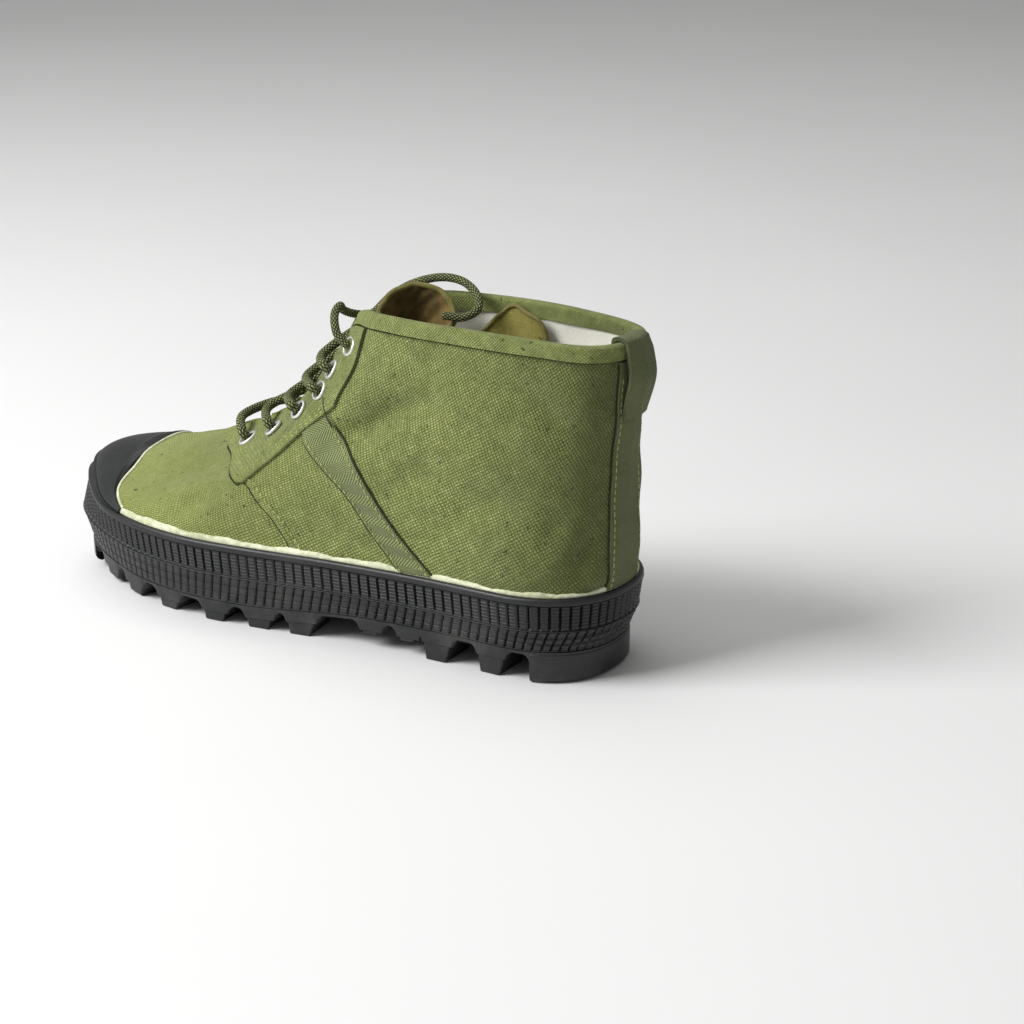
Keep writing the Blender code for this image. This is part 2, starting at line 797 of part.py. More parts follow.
def eyelet_ring(frame, radius, out):
    seat, normal, across, climb = frame
    angles = [2 * math.pi * number / EYELET_SIDES for number in range(EYELET_SIDES)]
    return [seat + out * normal + radius * (math.cos(a) * across + math.sin(a) * climb) for a in angles]


def eyelet_places():
    return [
        (number + 1, side, eyelet_frame(along, v, side))
        for number, (along, v) in enumerate(EYELETS)
        for side in (1, -1)
    ]


def add_eyelet_holes():
    """Guide prisms that cut the holes through canvas and facing."""
    bm = bmesh.new()
    radius = EYELET_BARREL + CLEARANCE
    for _, _, frame in eyelet_places():
        grid = loft(bm, [eyelet_ring(frame, radius, out) for out in (-3 * CANVAS_WALL, 2 * CANVAS_WALL)])
        bm.faces.new(grid[0])
        bm.faces.new(grid[1])
    return place(bm, "eyelet_guide", "eyelet")


def add_eyelets():
    flange = OVERLAY_GAP + TAPE_WALL + OVERLAY_GAP
    profile = (
        # radius, out
        (EYELET_BORE, -CANVAS_WALL),
        (EYELET_BARREL, -CANVAS_WALL),
        (EYELET_BARREL, flange),
        (EYELET_FLANGE, flange),
        (EYELET_FLANGE - EYELET_WALL, flange + EYELET_WALL),
        (EYELET_BORE, flange + EYELET_WALL),
    )
    for number, side, frame in eyelet_places():
        bm = bmesh.new()
        loft(bm, [eyelet_ring(frame, radius, out) for radius, out in profile], cycle=True)
        place(bm, "eyelet_%s_%d" % ("outer" if side > 0 else "inner", number), "eyelet")


def tongue_row(turn):
    """One row across the tongue, from under the outer facing to under the inner one."""
    depth = -(CANVAS_WALL + TONGUE_ROOM + TONGUE_WALL / 2)
    outer = [below_edge(turn, below, depth) for below in TONGUE_DEPTHS]
    inner = [below_edge(2 - turn, below, depth) for below in TONGUE_DEPTHS]
    return outer + [(outer[-1] + inner[-1]) / 2] + inner[::-1]


def add_tongue():
    """A wide canvas tongue: it fans round the end of the throat, fills it, and rises to a curled free edge."""
    hem = [
        np.array([(along - 0.5) * SOLE_LENGTH, side * COLLAR_WIDTH, height * COLLAR_HEIGHT])
        for along, side, height in TONGUE_HEM
    ]
    low = [tongue_row(turn) for turn in np.linspace(1.0, turn_of(TONGUE_TOP), TONGUE_ROWS)]
    rise = [
        [a + (b - a) * share for a, b in zip(low[-1], hem)]
        for share in np.linspace(0.0, 1.0, TONGUE_RISE_ROWS + 1)[1:]
    ]
    bm = bmesh.new()
    grid = [[bm.verts.new(point) for point in row] for row in low + rise]
    for first, second in zip(grid, grid[1:]):
        for i in range(len(first) - 1):
            bm.faces.new((first[i], first[i + 1], second[i + 1], second[i]))
    bmesh.ops.remove_doubles(bm, verts=bm.verts, dist=1e-6)
    tongue = place(bm, "tongue", "tongue")
    wall = tongue.modifiers.new("wall", "SOLIDIFY")
    wall.thickness = TONGUE_WALL
    wall.offset = 0.0


def smooth_path(points, step):
    """Points at even steps along a smooth curve through the given ones."""
    points = np.array(points)
    places = [(number, *point) for number, point in enumerate(points)]
    fine = np.array(
        [[interpolate(places, axis, at) for axis in (1, 2, 3)] for at in np.linspace(0, len(points) - 1, 200)]
    )
    run = np.concatenate([[0.0], np.cumsum(np.linalg.norm(np.diff(fine, axis=0), axis=1))])
    count = max(2, int(round(run[-1] / step)) + 1)
    even = np.linspace(0.0, run[-1], count)
    return [np.array([np.interp(at, run, fine[:, axis]) for axis in range(3)]) for at in even]


def tube(bm, points, radius):
    """A round bar along a path, closed at both ends."""
    rings = []
    across = None
    for number, point in enumerate(points):
        ahead = points[min(number + 1, len(points) - 1)] - points[max(number - 1, 0)]
        ahead = ahead / np.linalg.norm(ahead)
        if across is None:
            across = np.cross(ahead, UP)
        across = across - ahead * np.dot(across, ahead)
        across = across / np.linalg.norm(across)
        climb = np.cross(ahead, across)
        angles = [2 * math.pi * side / LACE_SIDES for side in range(LACE_SIDES)]
        rings.append([point + radius * (math.cos(a) * across + math.sin(a) * climb) for a in angles])
    grid = loft(bm, rings)
    bm.faces.new(grid[0])
    bm.faces.new(grid[-1])


def lace_out(number, side):
    """Where the lace stands out of an eyelet: a point just clear of its ring and one higher up."""
    seat, normal, _, _ = eyelet_frame(*EYELETS[number], side)
    ring_top = 2 * OVERLAY_GAP + TAPE_WALL + EYELET_WALL
    return [seat + normal * (ring_top + 2 * CLEARANCE), seat + normal * (ring_top + 2 * LACE_RADIUS)]


def over_edge(number, side, out):
    return below_edge(sided(turn_of(LACE_EDGES[number]), side), 0.0, out)


def under_edge(number, side):
    """Where the lace passes under the facing's edge, between canvas and tongue."""
    return over_edge(number, side, -(CANVAS_WALL + CLEARANCE + LACE_RADIUS))


def strand(number, side):
    """One strand: out of an eyelet, over the edge and the tongue, and under the other facing one eyelet up."""
    if number == len(EYELETS) - 1:
        start = [under_edge(number, side)]
        centre_lift = LACE_RADIUS
    else:
        start = lace_out(number, side) + [over_edge(number, side, LACE_ARCH)]
        centre_lift = LACE_ARCH
    end = under_edge(number - 1, -side)
    middle = (under_edge(number, side) + end) / 2
    middle[1] = 0.0
    middle = middle + UP * centre_lift
    return smooth_path(start + [middle, end], LACE_STEP)


def add_lace():
    """Crossings from the lowest eyelets up, each pair of strands joined where they cross, and the bar below them."""
    for number in range(len(EYELETS) - 1, 0, -1):
        sides = []
        for side in (1, -1):
            bm = bmesh.new()
            tube(bm, strand(number, side), LACE_RADIUS)
            sides.append(place(bm, "lace_cross_%d" % (number + 1) if side > 0 else "lace_guide", "lace"))
        cut(sides[0], sides[1], "UNION")
    last = len(EYELETS) - 1
    near = lace_out(last, 1) + [over_edge(last, 1, LACE_ARCH)]
    far = lace_out(last, -1) + [over_edge(last, -1, LACE_ARCH)]
    bm = bmesh.new()
    tube(bm, smooth_path(near + far[::-1], LACE_STEP), LACE_RADIUS)
    place(bm, "lace_bar", "lace")


def add_lace_end():
    """The free end of the lace, a round cord out of the top outer eyelet."""
    points = smooth_path(lace_out(0, 1)[:1] + [np.array(point) for point in LACE_END], LACE_STEP)
    curve = bpy.data.curves.new("lace_end", "CURVE")
    curve.dimensions = "3D"
    spline = curve.splines.new("POLY")
    spline.points.add(len(points) - 1)
    for place_on_spline, point in zip(spline.points, points):
        place_on_spline.co = (*point, 1.0)
    curve.bevel_depth = LACE_RADIUS
    curve.bevel_resolution = 2
    curve.use_fill_caps = True
    made = bpy.data.objects.new("lace_end", curve)
    made.location = ORIGIN
    made.data.materials.append(material("lace"))
    bpy.context.collection.objects.link(made)


def clear_scene():
    for existing in list(bpy.data.objects):
        bpy.data.objects.remove(existing, do_unlink=True)


def main():
    clear_scene()
    add_outsole()
    add_foxing()
    holes = add_eyelet_holes()
    add_upper(holes)
    add_insole()
    add_toe_cap()
    for side, name in ((1, "outer"), (-1, "inner")):
        cut(add_overlay("eyestay_" + name, facing_rows(), "canvas", side), holes, "DIFFERENCE")
        add_overlay("side_tape_" + name, tape_rows(), "tape", side)
    add_heel_stay()
    add_binding()
    add_pull_tab()
    add_eyelets()
    add_tongue()
    add_lace()
    add_lace_end()


main()
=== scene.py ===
"""Dresses the packed jungle boot: canvas, herringbone tapes, laces, metal eyelets and black rubber.

Lengths are metres. The boot's surfaces are worked out from the middle of the sole, as its solids are, and
each piece then stands at ORIGIN. A turn is a place round the boot: 0 is the back of the heel, 1 the tip of
the toe by the outer side, and 2 the heel again by the inner side. v climbs each rib of the canvas from 0 at
the top of the foxing to 1 at the edge of the opening.
"""

import math

import bmesh
import bpy
import numpy as np
from bpy.props import FloatProperty, FloatVectorProperty, PointerProperty
from mathutils import Matrix, Vector


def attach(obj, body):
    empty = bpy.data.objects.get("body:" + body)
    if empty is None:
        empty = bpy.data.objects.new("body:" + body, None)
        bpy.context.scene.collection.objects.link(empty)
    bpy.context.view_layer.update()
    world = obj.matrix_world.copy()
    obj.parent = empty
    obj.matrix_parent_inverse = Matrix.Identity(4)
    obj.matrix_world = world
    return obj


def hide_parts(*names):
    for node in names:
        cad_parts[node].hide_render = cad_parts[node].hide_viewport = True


bl_info = {
    "name": "Jungle Boot Dressing",
    "version": (1, 0, 0),
    "blender": (4, 5, 0),
    "location": "View3D > Sidebar > Boot",
    "description": "Builds the visible canvas, rubber, lace and metal of one jungle boot on its packed frame",
    "category": "Object",
}

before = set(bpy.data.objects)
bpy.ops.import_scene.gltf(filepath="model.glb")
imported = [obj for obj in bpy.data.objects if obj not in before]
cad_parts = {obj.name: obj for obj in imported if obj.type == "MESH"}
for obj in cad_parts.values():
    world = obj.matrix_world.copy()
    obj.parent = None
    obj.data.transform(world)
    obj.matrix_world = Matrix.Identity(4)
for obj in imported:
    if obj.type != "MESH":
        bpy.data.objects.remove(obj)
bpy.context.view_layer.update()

ORIGIN = np.array([0.0038, -0.0006, 0.0])
UP = np.array([0.0, 0.0, 1.0])

# Sizes that the solids have too
SOLE_LENGTH = 0.285
BALL_WIDTH = 0.100
COLLAR_WIDTH = 0.060
COLLAR_HEIGHT = 0.139
CLEARANCE = 0.0003
OVERLAY_GAP = 0.0004
HEEL_LUG_HEIGHT = 0.0115
FOREFOOT_LUG_HEIGHT = 0.0080
ARCH_LUG_LIFT = 0.0060
FLOOR_HEIGHT = 0.0155
PARTING_HEIGHT = 0.0240
FOXING_HEIGHT = 0.0380
FOXING_LIP = 0.0032
TOE_BUMPER_RISE = 0.0030
TOE_SPRING = 0.0050
TOE_LEAN = 0.0060
RUBBER_WALL = 0.0035
FOXING_WALL = 0.0027
SIDE_TAPER = 0.0060
PARTING_TAPER = 0.0015
EDGE_LIP = 0.0020
LUG_MARGIN = 0.0006
LUG_TAPER = 0.0010
LUG_DEPTH = 0.0200
LUG_SINK = 0.0012
LUG_HEEL_SLOPE = 0.0040
LUG_TOE_SLOPE = 0.0010
CENTRE_BAR_HALF = 0.0100
CENTRE_BAR_LENGTH = 0.0090
ARCH = (0.35, 0.58)
TOE_BREAK = 0.70
BUMPER = (0.84, 0.98)
LIP_LEAN = 0.8
CANVAS_WALL = 0.0020
TAPE_WALL = 0.0009
BINDING_WALL = 0.0010
BINDING_DEPTH = 0.0052
STAY_HALF_WIDTH = 0.0130
TAB_HALF_WIDTH = 0.0115
TAB_LENGTH = 0.0290
TAB_WALL = 0.0016
TAB_INNER_LEG = 0.0120
TAB_BOW = 0.0026
CAP_WALL = 0.0016
CAP_DOME = 0.0024
INSOLE_THICKNESS = 0.0040
TONGUE_WALL = 0.0012
LACE_RADIUS = 0.00175
STRAND_RADIUS = 0.00195
EYELET_HOLE = 0.0031
EYELET_FLANGE = 0.0044
EYELET_WALL = 0.0005
TONGUE_ROOM = 2 * LACE_RADIUS + 3 * CLEARANCE

OUTLINE = (
    # along  half   shift
    (0.000, 0.385, 0.000),
    (0.130, 0.390, 0.000),
    (0.280, 0.385, 0.012),
    (0.420, 0.400, 0.030),
    (0.540, 0.445, 0.035),
    (0.650, 0.495, 0.015),
    (0.760, 0.490, -0.010),
    (0.880, 0.460, -0.035),
    (1.000, 0.440, -0.050),
)
HEEL_ROUND = 0.145
TOE_ROUND = 0.290
HEEL_POWER = 2.25
TOE_POWER = 2.15

RIBS = (
    # foot   edge    half  height rise  lean  spread drop
    (0.000, -0.002, 0.000, 0.990, 0.26, 0.02, -0.010, 0.26),
    (0.012, 0.009, 0.210, 0.991, 0.26, 0.02, -0.010, 0.26),
    (0.050, 0.040, 0.360, 0.994, 0.26, 0.03, 0.000, 0.26),
    (0.130, 0.103, 0.435, 1.000, 0.26, 0.04, 0.010, 0.26),
    (0.250, 0.195, 0.475, 1.006, 0.26, 0.05, 0.020, 0.26),
    (0.380, 0.290, 0.465, 1.006, 0.25, 0.06, 0.040, 0.26),
    (0.480, 0.367, 0.400, 1.004, 0.22, 0.05, 0.070, 0.22),
    (0.550, 0.410, 0.285, 0.990, 0.18, 0.02, 0.080, 0.18),
    (0.610, 0.438, 0.225, 0.912, 0.14, 0.00, 0.080, 0.13),
    (0.680, 0.487, 0.215, 0.778, 0.10, -0.05, 0.085, 0.12),
    (0.770, 0.542, 0.205, 0.664, 0.07, -0.10, 0.095, 0.09),
    (0.870, 0.633, 0.165, 0.567, 0.05, -0.25, 0.165, 0.097),
    (0.950, 0.672, 0.095, 0.546, 0.045, -0.50, 0.260, 0.095),
    (1.000, 0.682, 0.000, 0.540, 0.045, -0.60, 0.280, 0.095),
)
COLLAR_FRONT = 0.555

LUGS = (
    # start  end   lifted
    (0.148, 0.180, 0),
    (0.239, 0.271, 0),
    (0.293, 0.313, 1),
    (0.355, 0.375, 1),
    (0.463, 0.495, 0),
    (0.533, 0.565, 0),
    (0.612, 0.644, 0),
    (0.709, 0.741, 0),
    (0.796, 0.828, 0),
    (0.870, 0.902, 0),
)
HEEL_BLOCK_END = 0.093
TOE_BLOCK_START = 0.945
CENTRE_BARS = (0.205, 0.515, 0.590, 0.677, 0.768, 0.850)

EYELETS = (
    # along  v
    (0.540, 0.840),
    (0.572, 0.750),
    (0.568, 0.665),
    (0.608, 0.615),
    (0.695, 0.670),
    (0.790, 0.720),
)
LACE_EDGES = (0.610, 0.648, 0.692, 0.750, 0.808, 0.868)

FACING = (
    # along  v
    (0.500, 0.620),
    (0.530, 0.540),
    (0.562, 0.450),
    (0.594, 0.370),
    (0.609, 0.320),
    (0.632, 0.340),
    (0.727, 0.520),
    (0.825, 0.710),
    (0.895, 0.930),
)
FACING_CORNER = 0.609
SIDE_TAPE = (
    # front  v     back   v
    (0.515, 0.47, 0.490, 0.55),
    (0.475, 0.38, 0.445, 0.43),
    (0.435, 0.27, 0.400, 0.25),
    (0.400, 0.13, 0.362, 0.11),
    (0.370, 0.00, 0.330, 0.00),
)
CAP = (
    # away   v
    (0.000, 0.540),
    (0.080, 0.522),
    (0.145, 0.440),
    (0.205, 0.300),
    (0.250, 0.170),
    (0.285, 0.060),
)
TAB_BOWS = (
    # down  bow
    (1.00, 0.0),
    (0.72, 0.5),
    (0.40, 1.0),
    (0.10, 0.5),
)
TONGUE_HEM = (
    # along  side    height
    (0.395, 0.183, 0.935),
    (0.405, 0.100, 1.000),
    (0.400, -0.033, 1.032),
    (0.381, -0.150, 1.047),
    (0.353, -0.217, 1.036),
    (0.328, -0.208, 1.004),
    (0.311, -0.133, 0.950),
)
TONGUE_TOP = 0.632
TONGUE_DEPTHS = (0.0160, 0.0080, 0.0)

LACE_END = (
    (-0.0190, 0.0255, 0.1300),
    (-0.0150, 0.0215, 0.1365),
    (-0.0135, 0.0155, 0.1390),
    (-0.0110, 0.0095, 0.1355),
    (-0.0118, 0.0020, 0.1325),
    (-0.0145, -0.0060, 0.1315),
    (-0.0190, -0.0115, 0.1375),
    (-0.0285, -0.0150, 0.1440),
    (-0.0395, -0.0195, 0.1472),
    (-0.0500, -0.0205, 0.1466),
    (-0.0585, -0.0180, 0.1425),
    (-0.0620, -0.0130, 0.1375),
    (-0.0580, -0.0075, 0.1350),
    (-0.0515, -0.0035, 0.1360),
)

# Top edge of the tongue's far wing, as x and z
GUSSET_TOP = (
    (-0.0560, 0.1225),
    (-0.0605, 0.1275),
    (-0.0670, 0.1345),
    (-0.0730, 0.1388),
    (-0.0800, 0.1368),
    (-0.0864, 0.1345),
    (-0.0890, 0.1300),
)

# Sizes that only the scene has
FOXING_RIB_PITCH = 0.0044
FOXING_RIB_DEPTH = 0.0012
RIB_LINE_DEPTH = 0.0005
RIB_LINES = 7
CEMENT_HEIGHT = 0.0024
CEMENT_CORD_RADIUS = 0.0007
STITCH_LENGTH = 0.0022
STITCH_GAP = 0.0008
STITCH_RADIUS = 0.00027
SEAM_RADIUS = 0.00032
SEAM_LIFT = 0.0005
ARCH_FILLET = 0.0038
PLATE_REACH = 0.030
LACE_ARCH = 0.0065
TONGUE_HEM_RADIUS = 0.0012
GUSSET_HEM_RADIUS = 0.0009
GUSSET_SIDE = -0.0225
GUSSET_FOOT = 0.112
GUSSET_WALL = 0.0009
FACING_RANGE = (0.500, 0.895)
BINDING_END = (0.556, 0.566)
BAND_TURNS = 1500

# Where the canvas turns yellower towards the toe, and darker towards the heel, partly grime and partly painted
# shade
YELLOW_FADE = (-0.03, 0.11)
GRIME_AND_SHADE_FADE = (-0.145, -0.070)
GRIME_AND_SHADE_SHARE = 0.60
CLOTH_SHEEN = 0.12

# Creases of the canvas, each a soft trough along points on the ribs, with the ridge that it throws up
CREASES = (
    # width   depth   ridge   points as (turn, v)
    (0.0058, 0.0042, 0.0016, ((0.484, 0.500), (0.466, 0.535), (0.448, 0.585), (0.420, 0.660), (0.385, 0.705))),
    (0.0055, 0.0024, 0.0010, ((0.155, 0.020), (0.125, 0.080), (0.100, 0.170), (0.085, 0.260))),
    (0.0080, 0.0020, 0.0010, ((0.330, 0.250), (0.280, 0.330), (0.220, 0.380))),
    (0.0070, 0.0016, 0.0008, ((0.395, 0.330), (0.360, 0.420), (0.330, 0.480))),
    (0.0040, 0.0012, 0.0005, ((0.600, 0.300), (0.625, 0.240), (0.640, 0.160))),
    (0.0055, 0.0016, 0.0008, ((0.690, 0.560), (0.720, 0.460), (0.735, 0.340))),
    (0.0060, 0.0016, 0.0008, ((0.250, 0.800), (0.200, 0.740), (0.160, 0.650))),
    (0.0050, 0.0014, 0.0006, ((0.190, 0.180), (0.165, 0.240), (0.150, 0.330))),
    (0.0058, 0.0036, 0.0014, ((1.518, 0.500), (1.545, 0.560), (1.585, 0.650))),
    (0.0070, 0.0020, 0.0010, ((1.690, 0.260), (1.740, 0.350), (1.790, 0.410))),
    (0.0055, 0.0022, 0.0010, ((1.845, 0.030), (1.880, 0.120), (1.900, 0.220))),
    (0.0055, 0.0016, 0.0008, ((1.310, 0.560), (1.280, 0.460), (1.265, 0.340))),
)

# The lapped seam below the facing, as (turn, v) on the outer side; the inner side has its mirror image
SEAM = ((0.578, 0.330), (0.562, 0.300), (0.538, 0.225), (0.515, 0.150), (0.498, 0.070), (0.485, 0.000))
QUARTER_EDGE = ((0.490, 0.545), (0.508, 0.590), (0.524, 0.635))
SEAM_STEP = 0.0007
SEAM_GROOVE = 0.0009
LAP_PLACE = 0.0022
LAP_WIDTH = 0.0012

# How far the canvas may sink below its plain surface, and rise above it
RELIEF_LIMITS = (-0.0042, 0.0020)

# Camera: where it stands and looks in the photograph, from the middle of the sole
CAMERA_PLACE = (-0.587, 0.8005, 0.3744)
CAMERA_FORWARD = (0.5025, -0.8042, -0.3173)
CAMERA_UP = (0.168, -0.269, 0.948)


def interpolate(rows, column, at, key=lambda value: value):
    """A smooth curve through one column of a table whose first column rises."""
    xs = [key(row[0]) for row in rows]
    ys = [row[column] for row in rows]
    at = min(max(at, xs[0]), xs[-1])
    first = min(max(k for k in range(len(xs)) if xs[k] <= at), len(xs) - 2)
    slopes = []
    for k in (first, first + 1):
        before, after = max(k - 1, 0), min(k + 1, len(xs) - 1)
        slopes.append((ys[after] - ys[before]) / (xs[after] - xs[before]))
    span = xs[first + 1] - xs[first]
    u = (at - xs[first]) / span
    return (
        ys[first] * (2 * u**3 - 3 * u**2 + 1)
        + slopes[0] * span * (u**3 - 2 * u**2 + u)
        + ys[first + 1] * (3 * u**2 - 2 * u**3)
        + slopes[1] * span * (u**3 - u**2)
    )


def smoothstep(low, high, at):
    u = np.clip((np.asarray(at, float) - low) / (high - low), 0.0, 1.0)
    return u * u * (3 - 2 * u)


def swell(at, middle, width):
    """A smooth bump, 1 at its middle."""
    return np.exp(-(((at - middle) / width) ** 2))


def run_length(points):
    """Length so far at each point of a path."""
    return np.concatenate([[0.0], np.cumsum(np.linalg.norm(np.diff(points, axis=0), axis=1))])


def along_of(turn):
    return (1 - np.cos(math.pi * turn)) / 2


def turn_of(along):
    return math.acos(1 - 2 * along) / math.pi


def along_at(turn):
    turn = np.asarray(turn, float) % 2
    return along_of(np.minimum(turn, 2 - turn))


def toe_lift(along):
    return TOE_SPRING * np.maximum(0.0, (along - TOE_BREAK) / (1 - TOE_BREAK)) ** 2


def toe_lean(along):
    return TOE_LEAN * smoothstep(*BUMPER, along)


def foxing_top(along):
    return FOXING_HEIGHT + toe_lift(along) + TOE_BUMPER_RISE * smoothstep(*BUMPER, along)


def plate_bottom(along):
    share = smoothstep(*ARCH, along)
    return HEEL_LUG_HEIGHT * (1 - share) + FOREFOOT_LUG_HEIGHT * share + toe_lift(along)


def side_inset(height):
    share = (height - HEEL_LUG_HEIGHT) / (PARTING_HEIGHT - HEEL_LUG_HEIGHT)
    return SIDE_TAPER + (PARTING_TAPER - SIDE_TAPER) * share


def outline_point(turn):
    """The sole's outline in plan at one turn."""
    turn = turn % 2
    side = 1 if turn <= 1 else -1
    along = float(along_of(min(turn, 2 - turn)))
    heel = max(0.0, 1 - along / HEEL_ROUND)
    toe = max(0.0, 1 - (1 - along) / TOE_ROUND)
    rounding = (1 - heel**HEEL_POWER) ** (1 / HEEL_POWER) * (1 - toe**TOE_POWER) ** (1 / TOE_POWER)
    half = interpolate(OUTLINE, 1, along) * rounding * BALL_WIDTH
    shift = interpolate(OUTLINE, 2, along) * BALL_WIDTH
    return ((along - 0.5) * SOLE_LENGTH, shift + side * half, 0.0)


def rib_handles(turn, place, normal):
    """The four handles of the canvas rib at one turn."""
    side = 1 if turn % 2 <= 1 else -1
    along = float(along_at(turn))
    at = turn_of(along)
    edge, half, height, rise, lean, spread, drop = (
        interpolate(RIBS, column, at, key=turn_of) for column in range(1, 8)
    )
    foot = place - (toe_lean(along) + FOXING_WALL + CLEARANCE) * normal
    foot = foot + UP * foxing_top(along)
    top = np.array([(edge - 0.5) * SOLE_LENGTH, side * half * COLLAR_WIDTH, height * COLLAR_HEIGHT])
    return (
        foot,
        foot + rise * COLLAR_HEIGHT * (UP + lean * normal),
        top + spread * BALL_WIDTH * normal - drop * COLLAR_HEIGHT * UP,
        top,
    )


def dense_shape():
    """Closely spaced turns with the outline, its outward direction, its length so far and the ribs' handles."""
    turns = np.linspace(0.0, 2.0, 1601)
    step = 1e-3
    before, places, after = (np.array([outline_point(t + away) for t in turns]) for away in (-step, 0.0, step))
    runs = after - before
    outs = np.stack([-runs[:, 1], runs[:, 0], 0 * turns], axis=1) / np.linalg.norm(runs, axis=1)[:, None]
    handles = np.array([rib_handles(t, p, n) for t, p, n in zip(turns, places, outs)])
    return turns, places, outs, run_length(places), handles


TURNS, PLACES, OUTS, LENGTHS, HANDLES = dense_shape()


def lookup(turn, values):
    """Values at any turns, read between the closely spaced ones."""
    turn = np.asarray(turn, float) % 2
    at = np.clip(turn / 2 * (len(TURNS) - 1), 0, len(TURNS) - 1.001)
    low = at.astype(int)
    share = (at - low).reshape(at.shape + (1,) * (values.ndim - 1))
    return values[low] * (1 - share) + values[low + 1] * share


def inset_outline(turn, inset, height):
    """Points inside the sole's outline, at a height."""
    points = lookup(turn, PLACES) - np.asarray(inset)[..., None] * lookup(turn, OUTS)
    points[..., 2] = height
    return points


def bare_surface(turn, v):
    """The canvas's outer face without its creases."""
    turn, v = np.broadcast_arrays(np.asarray(turn, float), np.asarray(v, float))
    handles = lookup(turn, HANDLES)
    w = 1 - v
    shares = np.stack([w**3, 3 * w * w * v, 3 * w * v * v, v**3], axis=-1)
    return (handles * shares[..., None]).sum(axis=-2)


def surface_normal(turn, v):
    turn, v = np.broadcast_arrays(np.asarray(turn, float), np.asarray(v, float))
    step = 2e-3
    climb = bare_surface(turn, np.minimum(v + step, 1)) - bare_surface(turn, np.maximum(v - step, 0))
    run = bare_surface(turn + step, v) - bare_surface(turn - step, v)
    normal = np.cross(climb, run)
    return normal / np.linalg.norm(normal, axis=-1)[..., None]


def curve_points(points, count):
    """Evenly spaced points on a smooth curve through the given ones, in any number of dimensions."""
    points = np.array(points, float)
    numbered = [(number, *point) for number, point in enumerate(points)]
    axes = range(1, points.shape[1] + 1)
    places = np.linspace(0, len(points) - 1, 160)
    fine = np.array([[interpolate(numbered, axis, at) for axis in axes] for at in places])
    run = run_length(fine)
    even = np.linspace(0.0, run[-1], count)
    return np.stack([np.interp(even, run, fine[:, axis]) for axis in range(points.shape[1])], axis=1)


def path_distance(points, path):
    """Distance from each point to a path, and how far along the path its nearest place is, from 0 to 1."""
    flat = points.reshape(-1, 3)
    best = np.full(len(flat), 1e9)
    share = np.zeros(len(flat))
    for number, (a, b) in enumerate(zip(path, path[1:])):
        span = b - a
        u = np.clip(((flat - a) @ span) / (span @ span), 0, 1)
        gap = np.linalg.norm(flat - a - u[:, None] * span, axis=1)
        closer = gap < best
        best[closer] = gap[closer]
        share[closer] = (number + u[closer]) / (len(path) - 1)
    return best.reshape(points.shape[:-1]), share.reshape(points.shape[:-1])


def path_on_ribs(route):
    path = curve_points(route, 20)
    return bare_surface(path[:, 0], path[:, 1])


CREASE_PATHS = [path_on_ribs(crease[3]) for crease in CREASES]
SEAM_PATHS = [path_on_ribs(SEAM), path_on_ribs([(2 - turn, v) for turn, v in SEAM])]


def canvas_relief(turn, v, points):
    """How far the canvas stands off its plain surface: creases, soft hollows and lapped seams."""
    relief = 0.0009 * np.sin(9.0 * turn + 3.0 * v) * np.sin(7.0 * v + 1.3)
    relief = relief + 0.0005 * np.sin(31.0 * turn - 12.0 * v) * np.sin(17.0 * v + 5.0 * turn)
    for (width, depth, ridge, _), path in zip(CREASES, CREASE_PATHS):
        gap, share = path_distance(points, path)
        fade = np.sin(math.pi * np.clip(share, 0.06, 0.94)) ** 0.6
        relief = relief + fade * (ridge * swell(gap, 2.1 * width, 1.3 * width) - depth * swell(gap, 0, width))
    for path in SEAM_PATHS:
        gap, share = path_distance(points, path)
        inside = (share > 0.01) & (share < 0.99)
        lap = 0.35 * swell(gap, LAP_PLACE, LAP_WIDTH) - swell(gap, 0, SEAM_GROOVE)
        relief = relief + SEAM_STEP * lap * inside
    edge = smoothstep(0.0, 0.06, v) * smoothstep(0.0, 0.05, 1 - v)
    return np.clip(relief * edge, *RELIEF_LIMITS)


def cloth_point(turn, v, out=0.0):
    """Points off the creased canvas."""
    bare = bare_surface(turn, v)
    return bare + (canvas_relief(turn, v, bare) + np.asarray(out))[..., None] * surface_normal(turn, v)


def rib_lengths(turn):
    """How far down one rib from the edge each of many steps lies, and v there."""
    steps = np.linspace(1.0, 0.0, 120)
    return run_length(bare_surface(turn, steps)), steps


def v_below_edge(turn, below):
    run, steps = rib_lengths(turn)
    return np.interp(below, run, steps)


def below_edge(turn, below, out):
    """Points at distances down one rib from the opening's edge; negative ones stand above the edge."""
    below, out = np.asarray(below, float), np.asarray(out, float)
    v = v_below_edge(turn, np.maximum(below, 0.0))
    points = cloth_point(np.full(v.shape, turn), v, out)
    climb = bare_surface(turn, 1.0) - bare_surface(turn, 0.98)
    climb = climb / np.linalg.norm(climb)
    return points + np.maximum(-below, 0.0)[..., None] * climb


def even_turns(count):
    """Turns evenly spaced along the outline's length."""
    return np.interp(np.linspace(0.0, LENGTHS[-1], count), LENGTHS, TURNS)


def heel_turn(half_width):
    near = TURNS < 0.2
    return float(np.interp(half_width, PLACES[near, 1], TURNS[near]))


# Meshes


def link_new(name, data):
    """A new object with this data, linked to the scene."""
    made = bpy.data.objects.new(name, data)
    bpy.context.collection.objects.link(made)
    return made


def place_mesh(name, verts, faces, uvs, look):
    """A mesh object at ORIGIN. uvs hold one pair for each corner of the faces."""
    mesh = bpy.data.meshes.new(name)
    mesh.from_pydata([tuple(point) for point in verts], [], faces)
    layer = mesh.uv_layers.new(name="cloth")
    layer.data.foreach_set("uv", np.asarray(uvs, np.float32).ravel())
    mesh.polygons.foreach_set("use_smooth", [True] * len(mesh.polygons))
    mesh.update()
    mesh.materials.append(look)
    piece = link_new(name, mesh)
    piece.location = Vector(ORIGIN)
    return piece


